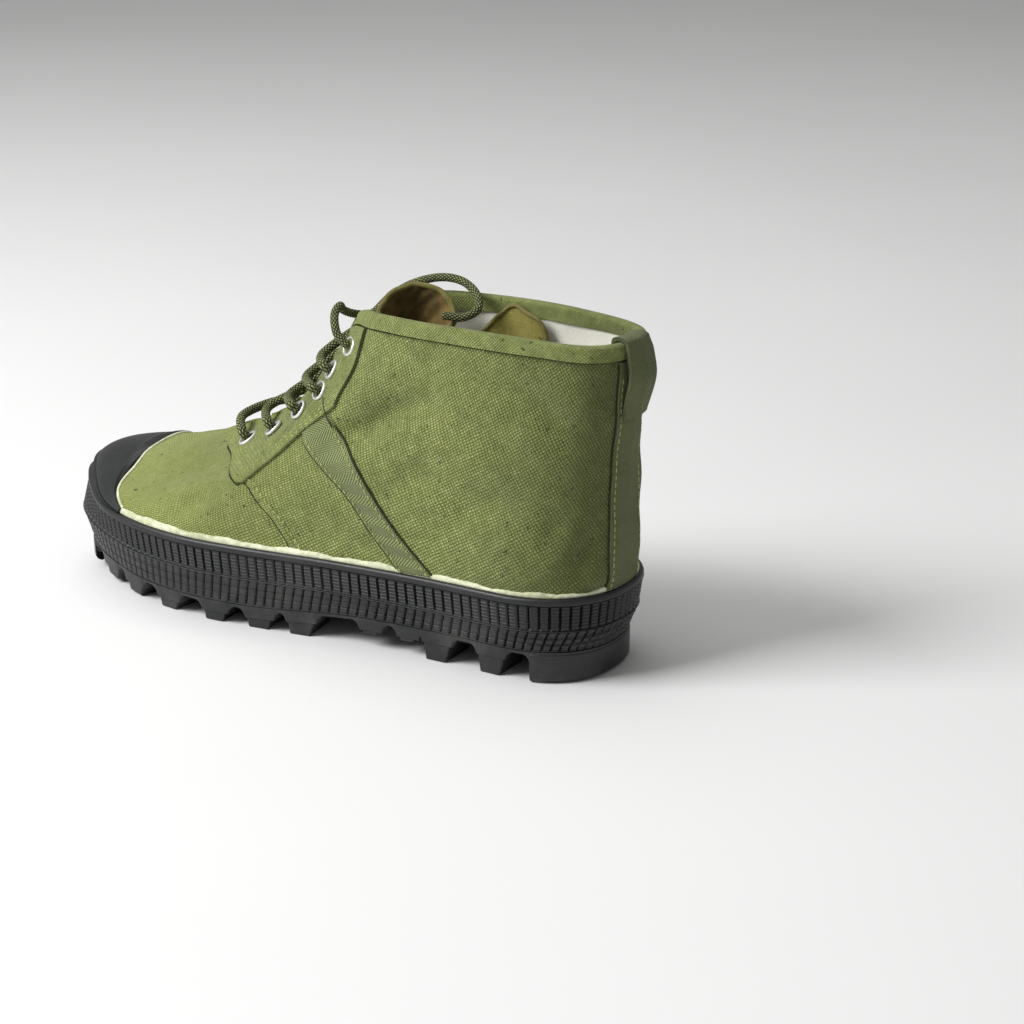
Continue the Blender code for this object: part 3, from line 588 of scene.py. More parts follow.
def change_mesh(piece, change=None):
    """Edits a piece's mesh by a function of its bmesh, if one is given, and turns all its faces outwards."""
    bm = bmesh.new()
    bm.from_mesh(piece.data)
    bm.verts.ensure_lookup_table()
    if change:
        change(bm)
    bmesh.ops.recalc_face_normals(bm, faces=bm.faces)
    bm.to_mesh(piece.data)
    bm.free()


def round_edges(piece, width, segments, angle):
    rounding = piece.modifiers.new("rounding", "BEVEL")
    rounding.width = width
    rounding.segments = segments
    rounding.limit_method = "ANGLE"
    rounding.angle_limit = math.radians(angle)


def grid_mesh(name, points, uv, look, wrap=False, wrap_rows=False):
    """A sheet from a grid of points; wrap joins its last row to its first, and wrap_rows its columns."""
    rows, columns = points.shape[:2]
    i = np.arange(rows if wrap else rows - 1)
    j = np.arange(columns if wrap_rows else columns - 1)
    i, j = (a.ravel() for a in np.meshgrid(i, j, indexing="ij"))
    a, b = i * columns + j, ((i + 1) % rows) * columns + j
    c, d = ((i + 1) % rows) * columns + (j + 1) % columns, i * columns + (j + 1) % columns
    faces = np.stack([a, b, c, d], axis=1)
    corner_uv = np.stack([uv[i, j], uv[i + 1, j], uv[i + 1, j + 1], uv[i, j + 1]], axis=1)
    return place_mesh(name, points.reshape(-1, 3), faces.tolist(), corner_uv, look)


def closed_band(name, points, look):
    """A grid whose last row joins its first, in one of the looks."""
    return grid_mesh(name, points, grid_uv(points, wrap=True), looks()[look], wrap=True)


def grid_uv(points, wrap=False, wrap_rows=False):
    """Lengths along and across a grid, in metres, with an extra row or column where it closes on itself."""
    if wrap:
        points = np.concatenate([points, points[:1]], axis=0)
    if wrap_rows:
        points = np.concatenate([points, points[:, :1]], axis=1)
    down = np.linalg.norm(np.diff(points, axis=0), axis=2).mean(axis=1)
    across = np.linalg.norm(np.diff(points, axis=1), axis=2)
    u = np.concatenate([[0.0], np.cumsum(down)])[:, None] + np.zeros(points.shape[1])
    v = np.concatenate([np.zeros((len(points), 1)), np.cumsum(across, axis=1)], axis=1)
    return np.stack([u, v], axis=2)


def slab_mesh(name, outer, inner, look, bevel=0.0003):
    """A closed panel between two grids, with softly rounded edges."""
    ring = np.concatenate([outer, inner[:, ::-1]], axis=1)
    uv = grid_uv(ring, wrap_rows=True)
    piece = grid_mesh(name, ring, uv, look, wrap_rows=True)
    count = ring.shape[1]

    def close_ends(bm):
        layer = bm.loops.layers.uv.verify()
        for row in (0, ring.shape[0] - 1):
            verts = [bm.verts[row * count + k] for k in range(count)]
            for k in range(count // 2 - 1):
                face = bm.faces.new((verts[k], verts[k + 1], verts[count - k - 2], verts[count - k - 1]))
                face.smooth = True
                for loop in face.loops:
                    loop[layer].uv = uv[row, verts.index(loop.vert)]

    change_mesh(piece, close_ends)
    if bevel:
        round_edges(piece, bevel, 2, 40)
    piece.data.set_sharp_from_angle(angle=math.radians(60))
    return piece


def tube_points(path, radius, sides):
    """Rings round a path, without twist."""
    path = np.asarray(path, float)
    ahead = np.gradient(path, axis=0)
    ahead = ahead / np.linalg.norm(ahead, axis=1)[:, None]
    across = np.cross(ahead[0], UP)
    rings = []
    radius = np.broadcast_to(radius, len(path))
    angles = np.linspace(0, 2 * math.pi, sides, endpoint=False)
    for point, direction, size in zip(path, ahead, radius):
        across = across - direction * (across @ direction)
        across = across / np.linalg.norm(across)
        climb = np.cross(direction, across)
        rings.append(point + size * (np.cos(angles)[:, None] * across + np.sin(angles)[:, None] * climb))
    return np.array(rings)


def tube_mesh(name, path, radius, look, sides=14):
    """A round cord with rounded ends, and UVs in metres along and shares round."""
    path = np.asarray(path, float)
    lead = (path[0] - path[1]) / np.linalg.norm(path[0] - path[1])
    tail = (path[-1] - path[-2]) / np.linalg.norm(path[-1] - path[-2])
    tip, slim = 0.4 * radius, 0.45 * radius
    radii = [slim] + [radius] * len(path) + [slim]
    path = np.concatenate([[path[0] + lead * tip], path, [path[-1] + tail * tip]])
    rings = tube_points(path, radii, sides)
    uv = np.stack(np.meshgrid(run_length(path), np.linspace(0, 1, sides + 1), indexing="ij"), axis=2)
    piece = grid_mesh(name, rings, uv, look, wrap_rows=True)

    def close_ends(bm):
        for row in (0, len(path) - 1):
            bm.faces.new([bm.verts[row * sides + k] for k in range(sides)])

    change_mesh(piece, close_ends)
    return piece


def add_tube(verts, faces, rings):
    """Adds the rings of one open tube to lists of points and faces."""
    base, sides = len(verts), rings.shape[1]
    verts.extend(rings.reshape(-1, 3))
    for low in range(base, len(verts) - sides, sides):
        for k in range(sides):
            j = (k + 1) % sides
            faces.append((low + k, low + j, low + sides + j, low + sides + k))


def stitch_mesh(name, paths, look):
    """Rows of separate stitches along paths, each one a short sunk bead of thread."""
    verts, faces = [], []
    for path, normals in paths:
        run = run_length(path)
        for start in np.arange(0.0, run[-1] - STITCH_LENGTH, STITCH_LENGTH + STITCH_GAP):
            at = start + STITCH_LENGTH * np.array([0.0, 0.12, 0.5, 0.88, 1.0])
            sink = STITCH_RADIUS * np.array([-1.2, 0.1, 0.55, 0.1, -1.2])
            middle, normal = (
                np.stack([np.interp(at, run, rows[:, k]) for k in range(3)], axis=1) for rows in (path, normals)
            )
            radii = STITCH_RADIUS * np.array([0.5, 1, 1.1, 1, 0.5])
            add_tube(verts, faces, tube_points(middle + sink[:, None] * normal, radii, 6))
    return place_mesh(name, verts, faces, np.zeros((4 * len(faces), 2)), look)


def side_turn(turn, side):
    """The same place on the outer side, side 1, or on the inner side, side -1."""
    return turn if side > 0 else 2 - turn


def cloth_path(path, out, side=1):
    """A path of (turn, v) points laid over the creased canvas of one side, with its normals."""
    turn = side_turn(path[:, 0], side)
    return cloth_point(turn, path[:, 1], out), surface_normal(turn, path[:, 1])


# Materials


class Nodes:
    """Short names for the nodes of one material."""

    def __init__(self, name, roughness=0.9):
        self.look = bpy.data.materials.new(name)
        self.look.use_nodes = True
        self.tree = self.look.node_tree
        self.shader = self.tree.nodes["Principled BSDF"]
        self.shader.inputs["Roughness"].default_value = roughness

    def add(self, kind, **settings):
        node = self.tree.nodes.new(kind)
        for key, value in settings.items():
            setattr(node, key, value)
        return node

    def feed(self, socket, value):
        if isinstance(value, bpy.types.NodeSocket):
            self.tree.links.new(value, socket)
        elif hasattr(value, "__len__") and len(value) == 3 and socket.type == "RGBA":
            socket.default_value = (*value, 1.0)
        else:
            socket.default_value = value

    def math(self, operation, *values):
        node = self.add("ShaderNodeMath", operation=operation)
        for socket, value in zip(node.inputs, values):
            self.feed(socket, value)
        return node.outputs[0]

    def uv(self, scale=1.0, turn=0.0):
        source = self.add("ShaderNodeUVMap", uv_map="cloth").outputs[0]
        mapping = self.add("ShaderNodeMapping")
        self.feed(mapping.inputs["Vector"], source)
        self.feed(mapping.inputs["Rotation"], (0.0, 0.0, turn))
        self.feed(mapping.inputs["Scale"], (scale, scale, scale))
        return mapping.outputs[0]

    def times(self, first, second):
        return self.math("MULTIPLY", first, second)

    def plus(self, first, second):
        return self.math("ADD", first, second)

    def minus(self, first, second):
        return self.math("SUBTRACT", first, second)

    def place(self):
        return self.add("ShaderNodeTexCoord").outputs["Object"]

    def split(self, vector):
        node = self.add("ShaderNodeSeparateXYZ")
        self.feed(node.inputs[0], vector)
        return node.outputs[0], node.outputs[1], node.outputs[2]

    def join(self, x, y, z=0.0):
        node = self.add("ShaderNodeCombineXYZ")
        for socket, value in zip(node.inputs, (x, y, z)):
            self.feed(socket, value)
        return node.outputs[0]

    def noise(self, vector, scale, detail=3.0, roughness=0.55):
        node = self.add("ShaderNodeTexNoise")
        self.feed(node.inputs["Vector"], vector)
        for key, value in (("Scale", scale), ("Detail", detail), ("Roughness", roughness)):
            self.feed(node.inputs[key], value)
        return node.outputs["Fac"]

    def ramp(self, value, low, high):
        """0 below low, 1 above high, smooth between."""
        node = self.add("ShaderNodeMapRange", interpolation_type="SMOOTHSTEP")
        for key, amount in (("Value", value), ("From Min", low), ("From Max", high)):
            self.feed(node.inputs[key], amount)
        return node.outputs[0]

    def mix(self, share, first, second):
        node = self.add("ShaderNodeMix", data_type="RGBA")
        self.feed(node.inputs[0], share)
        self.feed(node.inputs[6], first)
        self.feed(node.inputs[7], second)
        return node.outputs[2]

    def blotched(self, colour, other, scale, low, high, share):
        """Soft patches of another colour."""
        patch = self.ramp(self.noise(self.place(), scale, 4.0), low, high)
        return self.mix(self.times(patch, share), colour, other)

    def grimed_and_shaded(self, colour, dark):
        """Darker cloth towards the heel."""
        clean = self.ramp(self.split(self.place())[0], *GRIME_AND_SHADE_FADE)
        return self.mix(self.times(self.minus(1.0, clean), GRIME_AND_SHADE_SHARE), colour, dark)

    def threads(self, value):
        """Rounded threads, one to each unit."""
        return self.math("ABSOLUTE", self.math("SINE", self.times(value, math.pi)))

    def finish(self, colour, height, distance, roughness=None):
        self.feed(self.shader.inputs["Base Color"], colour)
        if roughness is not None:
            self.feed(self.shader.inputs["Roughness"], roughness)
        bump = self.add("ShaderNodeBump")
        for key, value in (("Height", height), ("Distance", distance), ("Strength", 1.0)):
            self.feed(bump.inputs[key], value)
        self.feed(self.shader.inputs["Normal"], bump.outputs[0])
        return self.look


def tinted(colour, share):
    return tuple(share * c for c in colour)


def weave(name, dark, mid, light, pitch, turn=0.0, yellow=None):
    """Coarse plain weave: thick threads over and under, uneven, with dirt and worn patches."""
    nodes = Nodes(name)
    x, y, _ = nodes.split(nodes.uv(1.0 / pitch, turn))
    wobble = nodes.noise(nodes.uv(1.0), 260.0, 2.0)
    shift = nodes.times(nodes.minus(wobble, 0.5), 0.9)
    x, y = nodes.plus(x, shift), nodes.plus(y, shift)
    checker = nodes.add("ShaderNodeTexChecker")
    nodes.feed(checker.inputs["Vector"], nodes.join(x, y, 0.5))
    nodes.feed(checker.inputs["Scale"], 1.0)
    over = checker.outputs["Fac"]
    warp, weft = nodes.threads(x), nodes.threads(y)
    crest = nodes.times(nodes.math("POWER", warp, 0.75), nodes.math("POWER", weft, 0.45))
    other = nodes.times(nodes.math("POWER", warp, 0.45), nodes.math("POWER", weft, 0.75))
    height = nodes.plus(other, nodes.times(nodes.minus(crest, other), over))
    thread_x = nodes.noise(nodes.join(x, nodes.times(y, 0.06)), 1.3, 2.0)
    thread_y = nodes.noise(nodes.join(nodes.times(x, 0.06), y, 3.0), 1.3, 2.0)
    thread = nodes.plus(nodes.times(thread_x, over), nodes.times(thread_y, nodes.minus(1.0, over)))
    tone = nodes.plus(nodes.times(height, 0.62), nodes.times(thread, 0.55))
    for scale, rough, share in ((900.0, 0.7, 0.55), (190.0, 0.6, 0.5)):
        spots = nodes.noise(nodes.place(), scale, 2.0, rough)
        tone = nodes.plus(tone, nodes.times(nodes.minus(spots, 0.5), share))
    colour = nodes.mix(nodes.ramp(tone, 0.10, 0.62), dark, mid)
    colour = nodes.mix(nodes.ramp(tone, 0.66, 1.22), colour, light)
    colour = nodes.blotched(colour, dark, 16.0, 0.42, 0.72, 0.30)
    if yellow is not None:
        forward = nodes.ramp(nodes.split(nodes.place())[0], *YELLOW_FADE)
        colour = nodes.mix(nodes.times(forward, 0.55), colour, yellow)
        # darker towards the heel: partly grime, partly painted shade
        colour = nodes.grimed_and_shaded(colour, dark)
    speck = nodes.ramp(nodes.noise(nodes.place(), 420.0, 1.0), 0.70, 0.76)
    colour = nodes.mix(nodes.times(speck, 0.75), colour, tinted(dark, 0.3))
    nodes.shader.inputs["Sheen Weight"].default_value = CLOTH_SHEEN
    return nodes.finish(colour, height, pitch * 0.42)


def herringbone(name, dark, light, pitch, column):
    """Twill tape whose ribs turn back at each column, like fish bones."""
    nodes = Nodes(name)
    x, y, _ = nodes.split(nodes.uv(1.0))
    zigzag = nodes.math("PINGPONG", x, column)
    fine = nodes.noise(nodes.place(), 700.0, 2.0)
    along = nodes.math("DIVIDE", nodes.plus(y, nodes.times(zigzag, 1.2)), pitch)
    rib = nodes.threads(nodes.plus(along, nodes.times(fine, 0.35)))
    cross = nodes.threads(nodes.math("DIVIDE", x, pitch * 0.7))
    height = nodes.plus(nodes.times(rib, 0.8), nodes.times(cross, 0.2))
    colour = nodes.mix(nodes.ramp(height, 0.15, 0.95), dark, light)
    colour = nodes.blotched(colour, dark, 30.0, 0.40, 0.75, 0.35)
    # darker towards the heel: partly grime, partly painted shade
    colour = nodes.grimed_and_shaded(colour, dark)
    nodes.shader.inputs["Sheen Weight"].default_value = CLOTH_SHEEN
    return nodes.finish(colour, height, pitch * 0.30)


def braid(name, dark, light, pitch):
    """A round braided lace: two sets of strands that wind across each other, with light flecks."""
    nodes = Nodes(name, 0.8)
    x, y, _ = nodes.split(nodes.uv(1.0))
    along, around = nodes.math("DIVIDE", x, pitch), nodes.times(y, 8.0)
    left, right = nodes.threads(nodes.plus(along, around)), nodes.threads(nodes.minus(along, around))
    height = nodes.times(nodes.math("POWER", left, 0.7), nodes.math("POWER", right, 0.7))
    fleck = nodes.noise(nodes.place(), 620.0, 2.0, 0.7)
    tone = nodes.plus(nodes.times(height, 0.75), nodes.times(fleck, 0.55))
    colour = nodes.mix(nodes.ramp(tone, 0.52, 1.12), dark, light)
    return nodes.finish(colour, height, pitch * 0.35)


def rubber(name, colour, dust, roughness, grain, dusty):
    """Matt moulded rubber with a fine grain, pale dust in its low places and scuffs."""
    nodes = Nodes(name, roughness)
    fine = nodes.noise(nodes.place(), grain, 3.0)
    cloud = nodes.noise(nodes.place(), 38.0, 5.0, 0.6)
    x, y, z = nodes.split(nodes.place())
    streak = nodes.noise(nodes.join(x, y, nodes.times(z, 6.0)), 160.0, 3.0)
    low = nodes.minus(1.0, nodes.ramp(z, 0.002, 0.030))
    dirt = nodes.times(nodes.ramp(cloud, 0.45, 0.80), nodes.plus(0.35, low))
    scuff = nodes.times(nodes.ramp(streak, 0.60, 0.78), 0.35)
    shade = nodes.mix(nodes.times(nodes.plus(dirt, scuff), dusty), colour, dust)
    rough = nodes.plus(roughness - 0.08, nodes.times(cloud, 0.25))
    return nodes.finish(shade, nodes.plus(fine, nodes.times(cloud, 0.6)), 0.00012, rough)


def plain_cloth(name, dark, light, scale):
    """Soft brushed cloth with a fine grain."""
    nodes = Nodes(name)
    fine = nodes.noise(nodes.place(), scale, 3.0)
    cloud = nodes.noise(nodes.place(), 35.0, 4.0)
    share = nodes.plus(nodes.times(fine, 0.5), nodes.times(cloud, 0.5))
    colour = nodes.mix(nodes.ramp(share, 0.3, 0.7), dark, light)
    return nodes.finish(colour, fine, 0.0002)


def metal(name, colour):
    nodes = Nodes(name, 0.38)
    nodes.shader.inputs["Metallic"].default_value = 0.75
    worn = nodes.noise(nodes.place(), 500.0, 3.0)
    shade = nodes.mix(nodes.ramp(worn, 0.55, 0.75), colour, tinted(colour, 0.7))
    return nodes.finish(shade, worn, 0.00005)


LOOKS = {}


def looks():
    """Every material, made once from the colours of the settings."""
    if LOOKS:
        return LOOKS
    shades = bpy.context.scene.boot_colours
    canvas, dark, light = tuple(shades.canvas), tuple(shades.canvas_dark), tuple(shades.canvas_light)
    tongue, yellow = tuple(shades.tongue), tuple(shades.vamp)
    black, dust = tuple(shades.rubber), tuple(shades.dust)
    pitch = bpy.context.scene.boot_sizes.weave_pitch
    LOOKS["canvas"] = weave("canvas_weave", dark, canvas, light, pitch, 0.60, yellow)
    LOOKS["facing"] = weave("facing_weave", dark, canvas, light, pitch * 0.8, 0.9, yellow)
    LOOKS["tape"] = herringbone("tape_herringbone", tuple(shades.tape_dark), tuple(shades.tape), 0.0014, 0.0052)
    LOOKS["binding"] = weave("binding_weave", dark, canvas, light, 0.0009, 0.8)
    LOOKS["tongue"] = weave("tongue_weave", tinted(tongue, 0.35), tongue, tinted(tongue, 1.45), 0.0007)
    LOOKS["lace"] = braid("lace_braid", tuple(shades.lace), tuple(shades.lace_fleck), 0.0019)
    LOOKS["rubber"] = rubber("sole_rubber", black, dust, 0.42, 900.0, 0.34)
    LOOKS["cap"] = rubber("cap_rubber", tinted(black, 1.25), dust, 0.40, 500.0, 0.22)
    LOOKS["eyelet"] = metal("eyelet_metal", (0.86, 0.86, 0.84))
    for key, name, low, high, grain in (
        ("lining", "lining_cloth", (0.74, 0.73, 0.64), (0.88, 0.87, 0.80), 1400.0),
        ("insole", "insole_cloth", (0.40, 0.37, 0.29), (0.62, 0.59, 0.48), 900.0),
        # the tongue's back face: dark brown painted shade of its hollow
        ("tongue_back_shade", "tongue_back_painted_shade", (0.040, 0.024, 0.006), (0.230, 0.150, 0.036), 160.0),
        ("cement", "cement_cream", (0.44, 0.46, 0.28), (0.86, 0.87, 0.66), 420.0),
        ("thread", "sewing_thread", tinted(canvas, 0.8), light, 900.0),
        # dark seam lines: partly thread, partly painted shadow of the seam gaps
        ("seam", "seam_thread_and_painted_shadow", tinted(dark, 0.2), tinted(dark, 0.7), 900.0),
        ("hole", "hole_shadow", (0.004, 0.005, 0.003), (0.010, 0.011, 0.007), 500.0),
    ):
        LOOKS[key] = plain_cloth(name, low, high, grain)
    return LOOKS


def dress(piece, slot, *nodes):
    """The piece rides on the boot, takes its finish from a slot, and stands for these solids."""
    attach(piece, "root")
    if nodes:
        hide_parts(*nodes)
    return piece


# Pieces


def build_lace_end():
    """The lace's free end, on the same route as its solid."""
    path = curve_points([lace_out(eyelet_frame(0, 1))[0], *LACE_END], 90)
    piece = tube_mesh("lace_end_braid", path, LACE_RADIUS, looks()["lace"], sides=16)
    dress(piece, "lace", "lace_end")


def upper_turns(count):
    """Turns for the canvas: even in turn, which packs them closer at heel and toe."""
    return np.linspace(0.0, 2.0, count, endpoint=False)


def low_canvas(turn, wall):
    """The canvas below the foxing's top, hidden between sole and insole."""
    rings = []
    for inset, height in ((side_inset(FLOOR_HEIGHT), FLOOR_HEIGHT), (PARTING_TAPER, PARTING_HEIGHT)):
        inset = inset + RUBBER_WALL + CLEARANCE + wall
        rings.append(inset_outline(turn, inset, height + CLEARANCE + toe_lift(along_at(turn))))
    return np.stack(rings, axis=1)


def canvas_grid(count, steps, out):
    """Turns, a grid of points over the canvas and a ring along the middle of its edge."""
    turns = upper_turns(count)
    turn, v = np.meshgrid(turns, np.linspace(0.0, 1.0, steps), indexing="ij")
    return turns, cloth_point(turn, v, out), cloth_point(turns, np.ones(count), -CANVAS_WALL / 2)[:, None]


def build_canvas():
    turns, outer, rim = canvas_grid(560, 84, 0.0)
    outer = np.concatenate([low_canvas(turns, 0.0), outer, rim], axis=1)
    dress(closed_band("canvas_upper", outer, "canvas"), "canvas", "upper")
    turns, inner, rim = canvas_grid(240, 34, -CANVAS_WALL)
    inner = np.concatenate([rim, inner[:, ::-1], low_canvas(turns, CANVAS_WALL)[:, ::-1]], axis=1)
    dress(closed_band("canvas_lining", inner, "lining"), "insole")


def flat_sheet(turns, inset, profile, length):
    """Rings from the outline inwards to a line as long as a share of the sole, from (inward, height) pairs."""
    middle = np.stack([(along_at(turns) - 0.5) * SOLE_LENGTH * length, 0 * turns, 0 * turns], axis=1)
    rings = []
    for inward, height in profile:
        edge = inset_outline(turns, inset, height)
        centre = middle.copy()
        centre[:, 2] = height
        rings.append(edge * (1 - inward) + centre * inward)
    return np.stack(rings, axis=1)


def build_insole():
    turns = upper_turns(160)
    inset = side_inset(FLOOR_HEIGHT) + RUBBER_WALL + CANVAS_WALL + 3 * CLEARANCE
    floor = FLOOR_HEIGHT + CLEARANCE + toe_lift(along_at(turns))
    rises = ((0.0, 0.0), (0.0, 0.8), (0.03, 1.0), (0.12, 0.96), (0.35, 0.88), (0.7, 0.84), (0.999, 0.84))
    profile = [(inward, floor + rise * INSOLE_THICKNESS) for inward, rise in rises]
    dress(closed_band("insole_cloth", flat_sheet(turns, inset, profile, 0.86), "insole"), "insole", "insole")


def keep_above_foxing(turn, *grids):
    for grid in grids:
        grid[..., 2] = np.maximum(grid[..., 2], foxing_top(along_at(turn)) + CLEARANCE)


def overlay_grids(rows, wall, side):
    """Outer and inner grids of an overlay, from rows of (turn, v)."""
    table = np.array(rows, float)
    turn = side_turn(table[..., 0], side)
    outer = cloth_point(turn, table[..., 1], OVERLAY_GAP + wall)
    inner = cloth_point(turn, table[..., 1], 0.5 * OVERLAY_GAP)
    keep_above_foxing(turn, outer, inner)
    return outer, inner


def facing_rows(rows=90):
    table = []
    for along in np.linspace(*FACING_RANGE, rows):
        turn = turn_of(along)
        low = interpolate(FACING, 1, along)
        below = v_below_edge(turn, BINDING_DEPTH + 2 * OVERLAY_GAP)
        share = float(smoothstep(*BINDING_END, along))
        high = below * (1 - share) + share
        table.append([(turn, v) for v in np.linspace(high, low, 30)])
    return table


def tape_rows(rows=70, columns=7):
    numbered = [(number, *row) for number, row in enumerate(SIDE_TAPE)]
    table = []
    for at in np.linspace(0, len(SIDE_TAPE) - 1, rows):
        front, front_v, back, back_v = (interpolate(numbered, column, at) for column in range(1, 5))
        table.append(
            [(front + (back - front) * s, front_v + (back_v - front_v) * s) for s in np.linspace(0, 1, columns)]
        )
    return table


def build_facings():
    for side, name in ((1, "outer"), (-1, "inner")):
        outer, inner = overlay_grids(facing_rows(), TAPE_WALL + 0.0003, side)
        dress(slab_mesh("facing_" + name, outer, inner, looks()["facing"]), "canvas", "eyestay_" + name)


def build_tapes():
    """The side tapes, whose tops run in under the facings, and the backstay."""
    under_facing = [[(t + 0.030, v + 0.085) for t, v in row] for row in tape_rows(2, 7)[:1]]
    for side, name in ((1, "outer"), (-1, "inner")):
        outer, inner = overlay_grids(under_facing + tape_rows(), TAPE_WALL - 0.0001, side)
        piece = slab_mesh("side_herringbone_" + name, outer, inner, looks()["tape"])
        dress(piece, "tape", "side_tape_" + name)
    reach = heel_turn(STAY_HALF_WIDTH)
    top = float(v_below_edge(0.0, BINDING_DEPTH + 2 * OVERLAY_GAP))
    rows = [[(reach * across, v) for across in np.linspace(-1, 1, 15)] for v in np.linspace(0.0, top, 80)]
    outer, inner = overlay_grids(rows, TAPE_WALL, 1)
    dress(slab_mesh("backstay_herringbone", outer, inner, looks()["tape"]), "tape", "heel_stay")


def fold_profile(depth, gap, wall, inner_gap, steps=7):
    """A tape folded over the edge: lists of distances below the edge and outwards, round at the top."""
    outer_face, inner_face = gap + wall, -CANVAS_WALL - inner_gap - wall
    middle, half = (outer_face + inner_face) / 2, (outer_face - inner_face) / 2
    bend = np.linspace(0, math.pi, steps)
    outside = [(depth, outer_face), (depth * 0.66, outer_face), (depth * 0.33, outer_face)]
    outside += [(-wall * 1.25 * math.sin(a), middle + half * math.cos(a)) for a in bend]
    outside += [(depth * 0.33, inner_face), (depth * 0.66, inner_face), (depth, inner_face)]
    inner_half = half - wall
    inside = [(depth, gap), (depth * 0.66, gap), (depth * 0.33, gap)]
    inside += [(-gap * math.sin(a), middle + inner_half * math.cos(a)) for a in bend]
    low = -CANVAS_WALL - inner_gap
    inside += [(depth * 0.33, low), (depth * 0.66, low), (depth, low)]
    return np.array(outside), np.array(inside)


def folded_piece(name, look, turns, outside, inside):
    outer = np.array([below_edge(turn, outside[:, 0], outside[:, 1]) for turn in turns])
    inner = np.array([below_edge(turn, inside[:, 0], inside[:, 1]) for turn in turns])
    return slab_mesh(name, outer, inner, look, 0.0)


def build_binding():
    turns = np.linspace(-turn_of(COLLAR_FRONT), turn_of(COLLAR_FRONT), 260)
    outside, inside = fold_profile(BINDING_DEPTH, OVERLAY_GAP, BINDING_WALL, OVERLAY_GAP)
    dress(folded_piece("binding_roll", looks()["binding"], turns, outside, inside), "tape", "collar_binding")


def build_pull_tab():
    reach = heel_turn(TAB_HALF_WIDTH)
    seat = 2 * OVERLAY_GAP + BINDING_WALL
    inner_seat = CANVAS_WALL + seat
    downs = np.linspace(1.0, 0.08, 16)
    bows = [interpolate(tuple(reversed(TAB_BOWS)), 1, down) for down in downs]
    outside, inside = [], []
    for down, bow in zip(downs, bows):
        inside.append((TAB_LENGTH * down, seat + TAB_BOW * bow))
        outside.append((TAB_LENGTH * down, seat + TAB_WALL + TAB_BOW * bow))
    middle = (seat - inner_seat) / 2
    half = (seat + inner_seat) / 2
    for angle in np.linspace(0.1, math.pi - 0.1, 9):
        lift = math.sin(angle) ** 0.5
        inside.append((-seat * lift, middle + half * math.cos(angle)))
        outside.append((-(seat + TAB_WALL) * lift, middle + (half + TAB_WALL) * math.cos(angle)))
    for down in np.linspace(0.15, 1.0, 6):
        inside.append((TAB_INNER_LEG * down, -inner_seat))
        outside.append((TAB_INNER_LEG * down, -inner_seat - TAB_WALL))
    turns = [reach * across for across in np.linspace(-1, 1, 21)]
    piece = folded_piece("pull_loop_tape", looks()["tape"], turns, np.array(outside), np.array(inside))
    dress(piece, "tape", "pull_tab")


def eyelet_frame(number, side):
    """An eyelet's seat on the cloth, with its outward direction and two directions across it."""
    along, v = EYELETS[number]
    turn = side_turn(turn_of(along), side)
    seat = bare_surface(turn, v)
    normal = surface_normal(turn, v)
    across = np.cross(normal, UP)
    across = across / np.linalg.norm(across)
    return seat, normal, across, np.cross(normal, across)


def eyelet_rings(frame_here, profile):
    """Rings round an eyelet's middle, from pairs of radius and height over the cloth."""
    seat, normal, across, climb = frame_here
    angles = np.linspace(0, 2 * math.pi, 36, endpoint=False)[:, None]
    spokes = np.cos(angles) * across + np.sin(angles) * climb
    return np.array([seat + out * normal + radius * spokes for radius, out in profile])


def build_eyelets():
    """Rolled metal rings, each with a dark disc as the shadow of its hole."""
    flange = 2 * OVERLAY_GAP + TAPE_WALL
    rolled = (EYELET_FLANGE - EYELET_HOLE) / 2
    middle = (EYELET_FLANGE + EYELET_HOLE) / 2
    profile = [(EYELET_HOLE, -CANVAS_WALL), (EYELET_HOLE, flange * 0.4)]
    profile += [
        (middle - rolled * math.cos(a), flange + 0.0002 + EYELET_WALL * 1.6 * math.sin(a))
        for a in np.linspace(0.0, math.pi, 9)
    ]
    profile += [(EYELET_FLANGE - rolled * 0.2, flange - EYELET_WALL * 0.4), (EYELET_HOLE + 0.0005, flange * 0.6)]
    profile += [(EYELET_HOLE + 0.0005, -CANVAS_WALL)]
    shadow = [(EYELET_HOLE * share, out) for share, out in ((1.02, 0.0012), (0.6, 0.0009), (0.02, 0.0008))]
    for side, name in ((1, "outer"), (-1, "inner")):
        for number in range(len(EYELETS)):
            frame_here = eyelet_frame(number, side)
            label = "%s_%d" % (name, number + 1)
            rings = eyelet_rings(frame_here, profile)
            uv = grid_uv(rings, wrap=True, wrap_rows=True)
            piece = grid_mesh("eyelet_ring_" + label, rings, uv, looks()["eyelet"], True, True)
            change_mesh(piece)
            dress(piece, "eyelet", "eyelet_" + label)
            hole = eyelet_rings(frame_here, shadow)
            uv = grid_uv(hole, wrap_rows=True)
            dress(grid_mesh("eyelet_hole_" + label, hole, uv, looks()["hole"], wrap_rows=True), "lace")


def lace_out(frame_here):
    """Where the lace stands out of an eyelet."""
    seat, normal, _, _ = frame_here
    top = 2 * OVERLAY_GAP + TAPE_WALL + EYELET_WALL
    return [seat + normal * (top + 2 * CLEARANCE), seat + normal * (top + 2 * LACE_RADIUS)]


def lace_rise(number, side):
    """The lace's way from under the canvas, out of an eyelet and up over the facing's edge."""
    frame_here = eyelet_frame(number, side)
    deep = frame_here[0] - frame_here[1] * CANVAS_WALL
    return [deep, *lace_out(frame_here), over_edge(number, side, LACE_ARCH)]


def over_edge(number, side, out):
    turn = side_turn(turn_of(LACE_EDGES[number]), side)
    return bare_surface(turn, 1.0) + out * surface_normal(turn, 1.0)


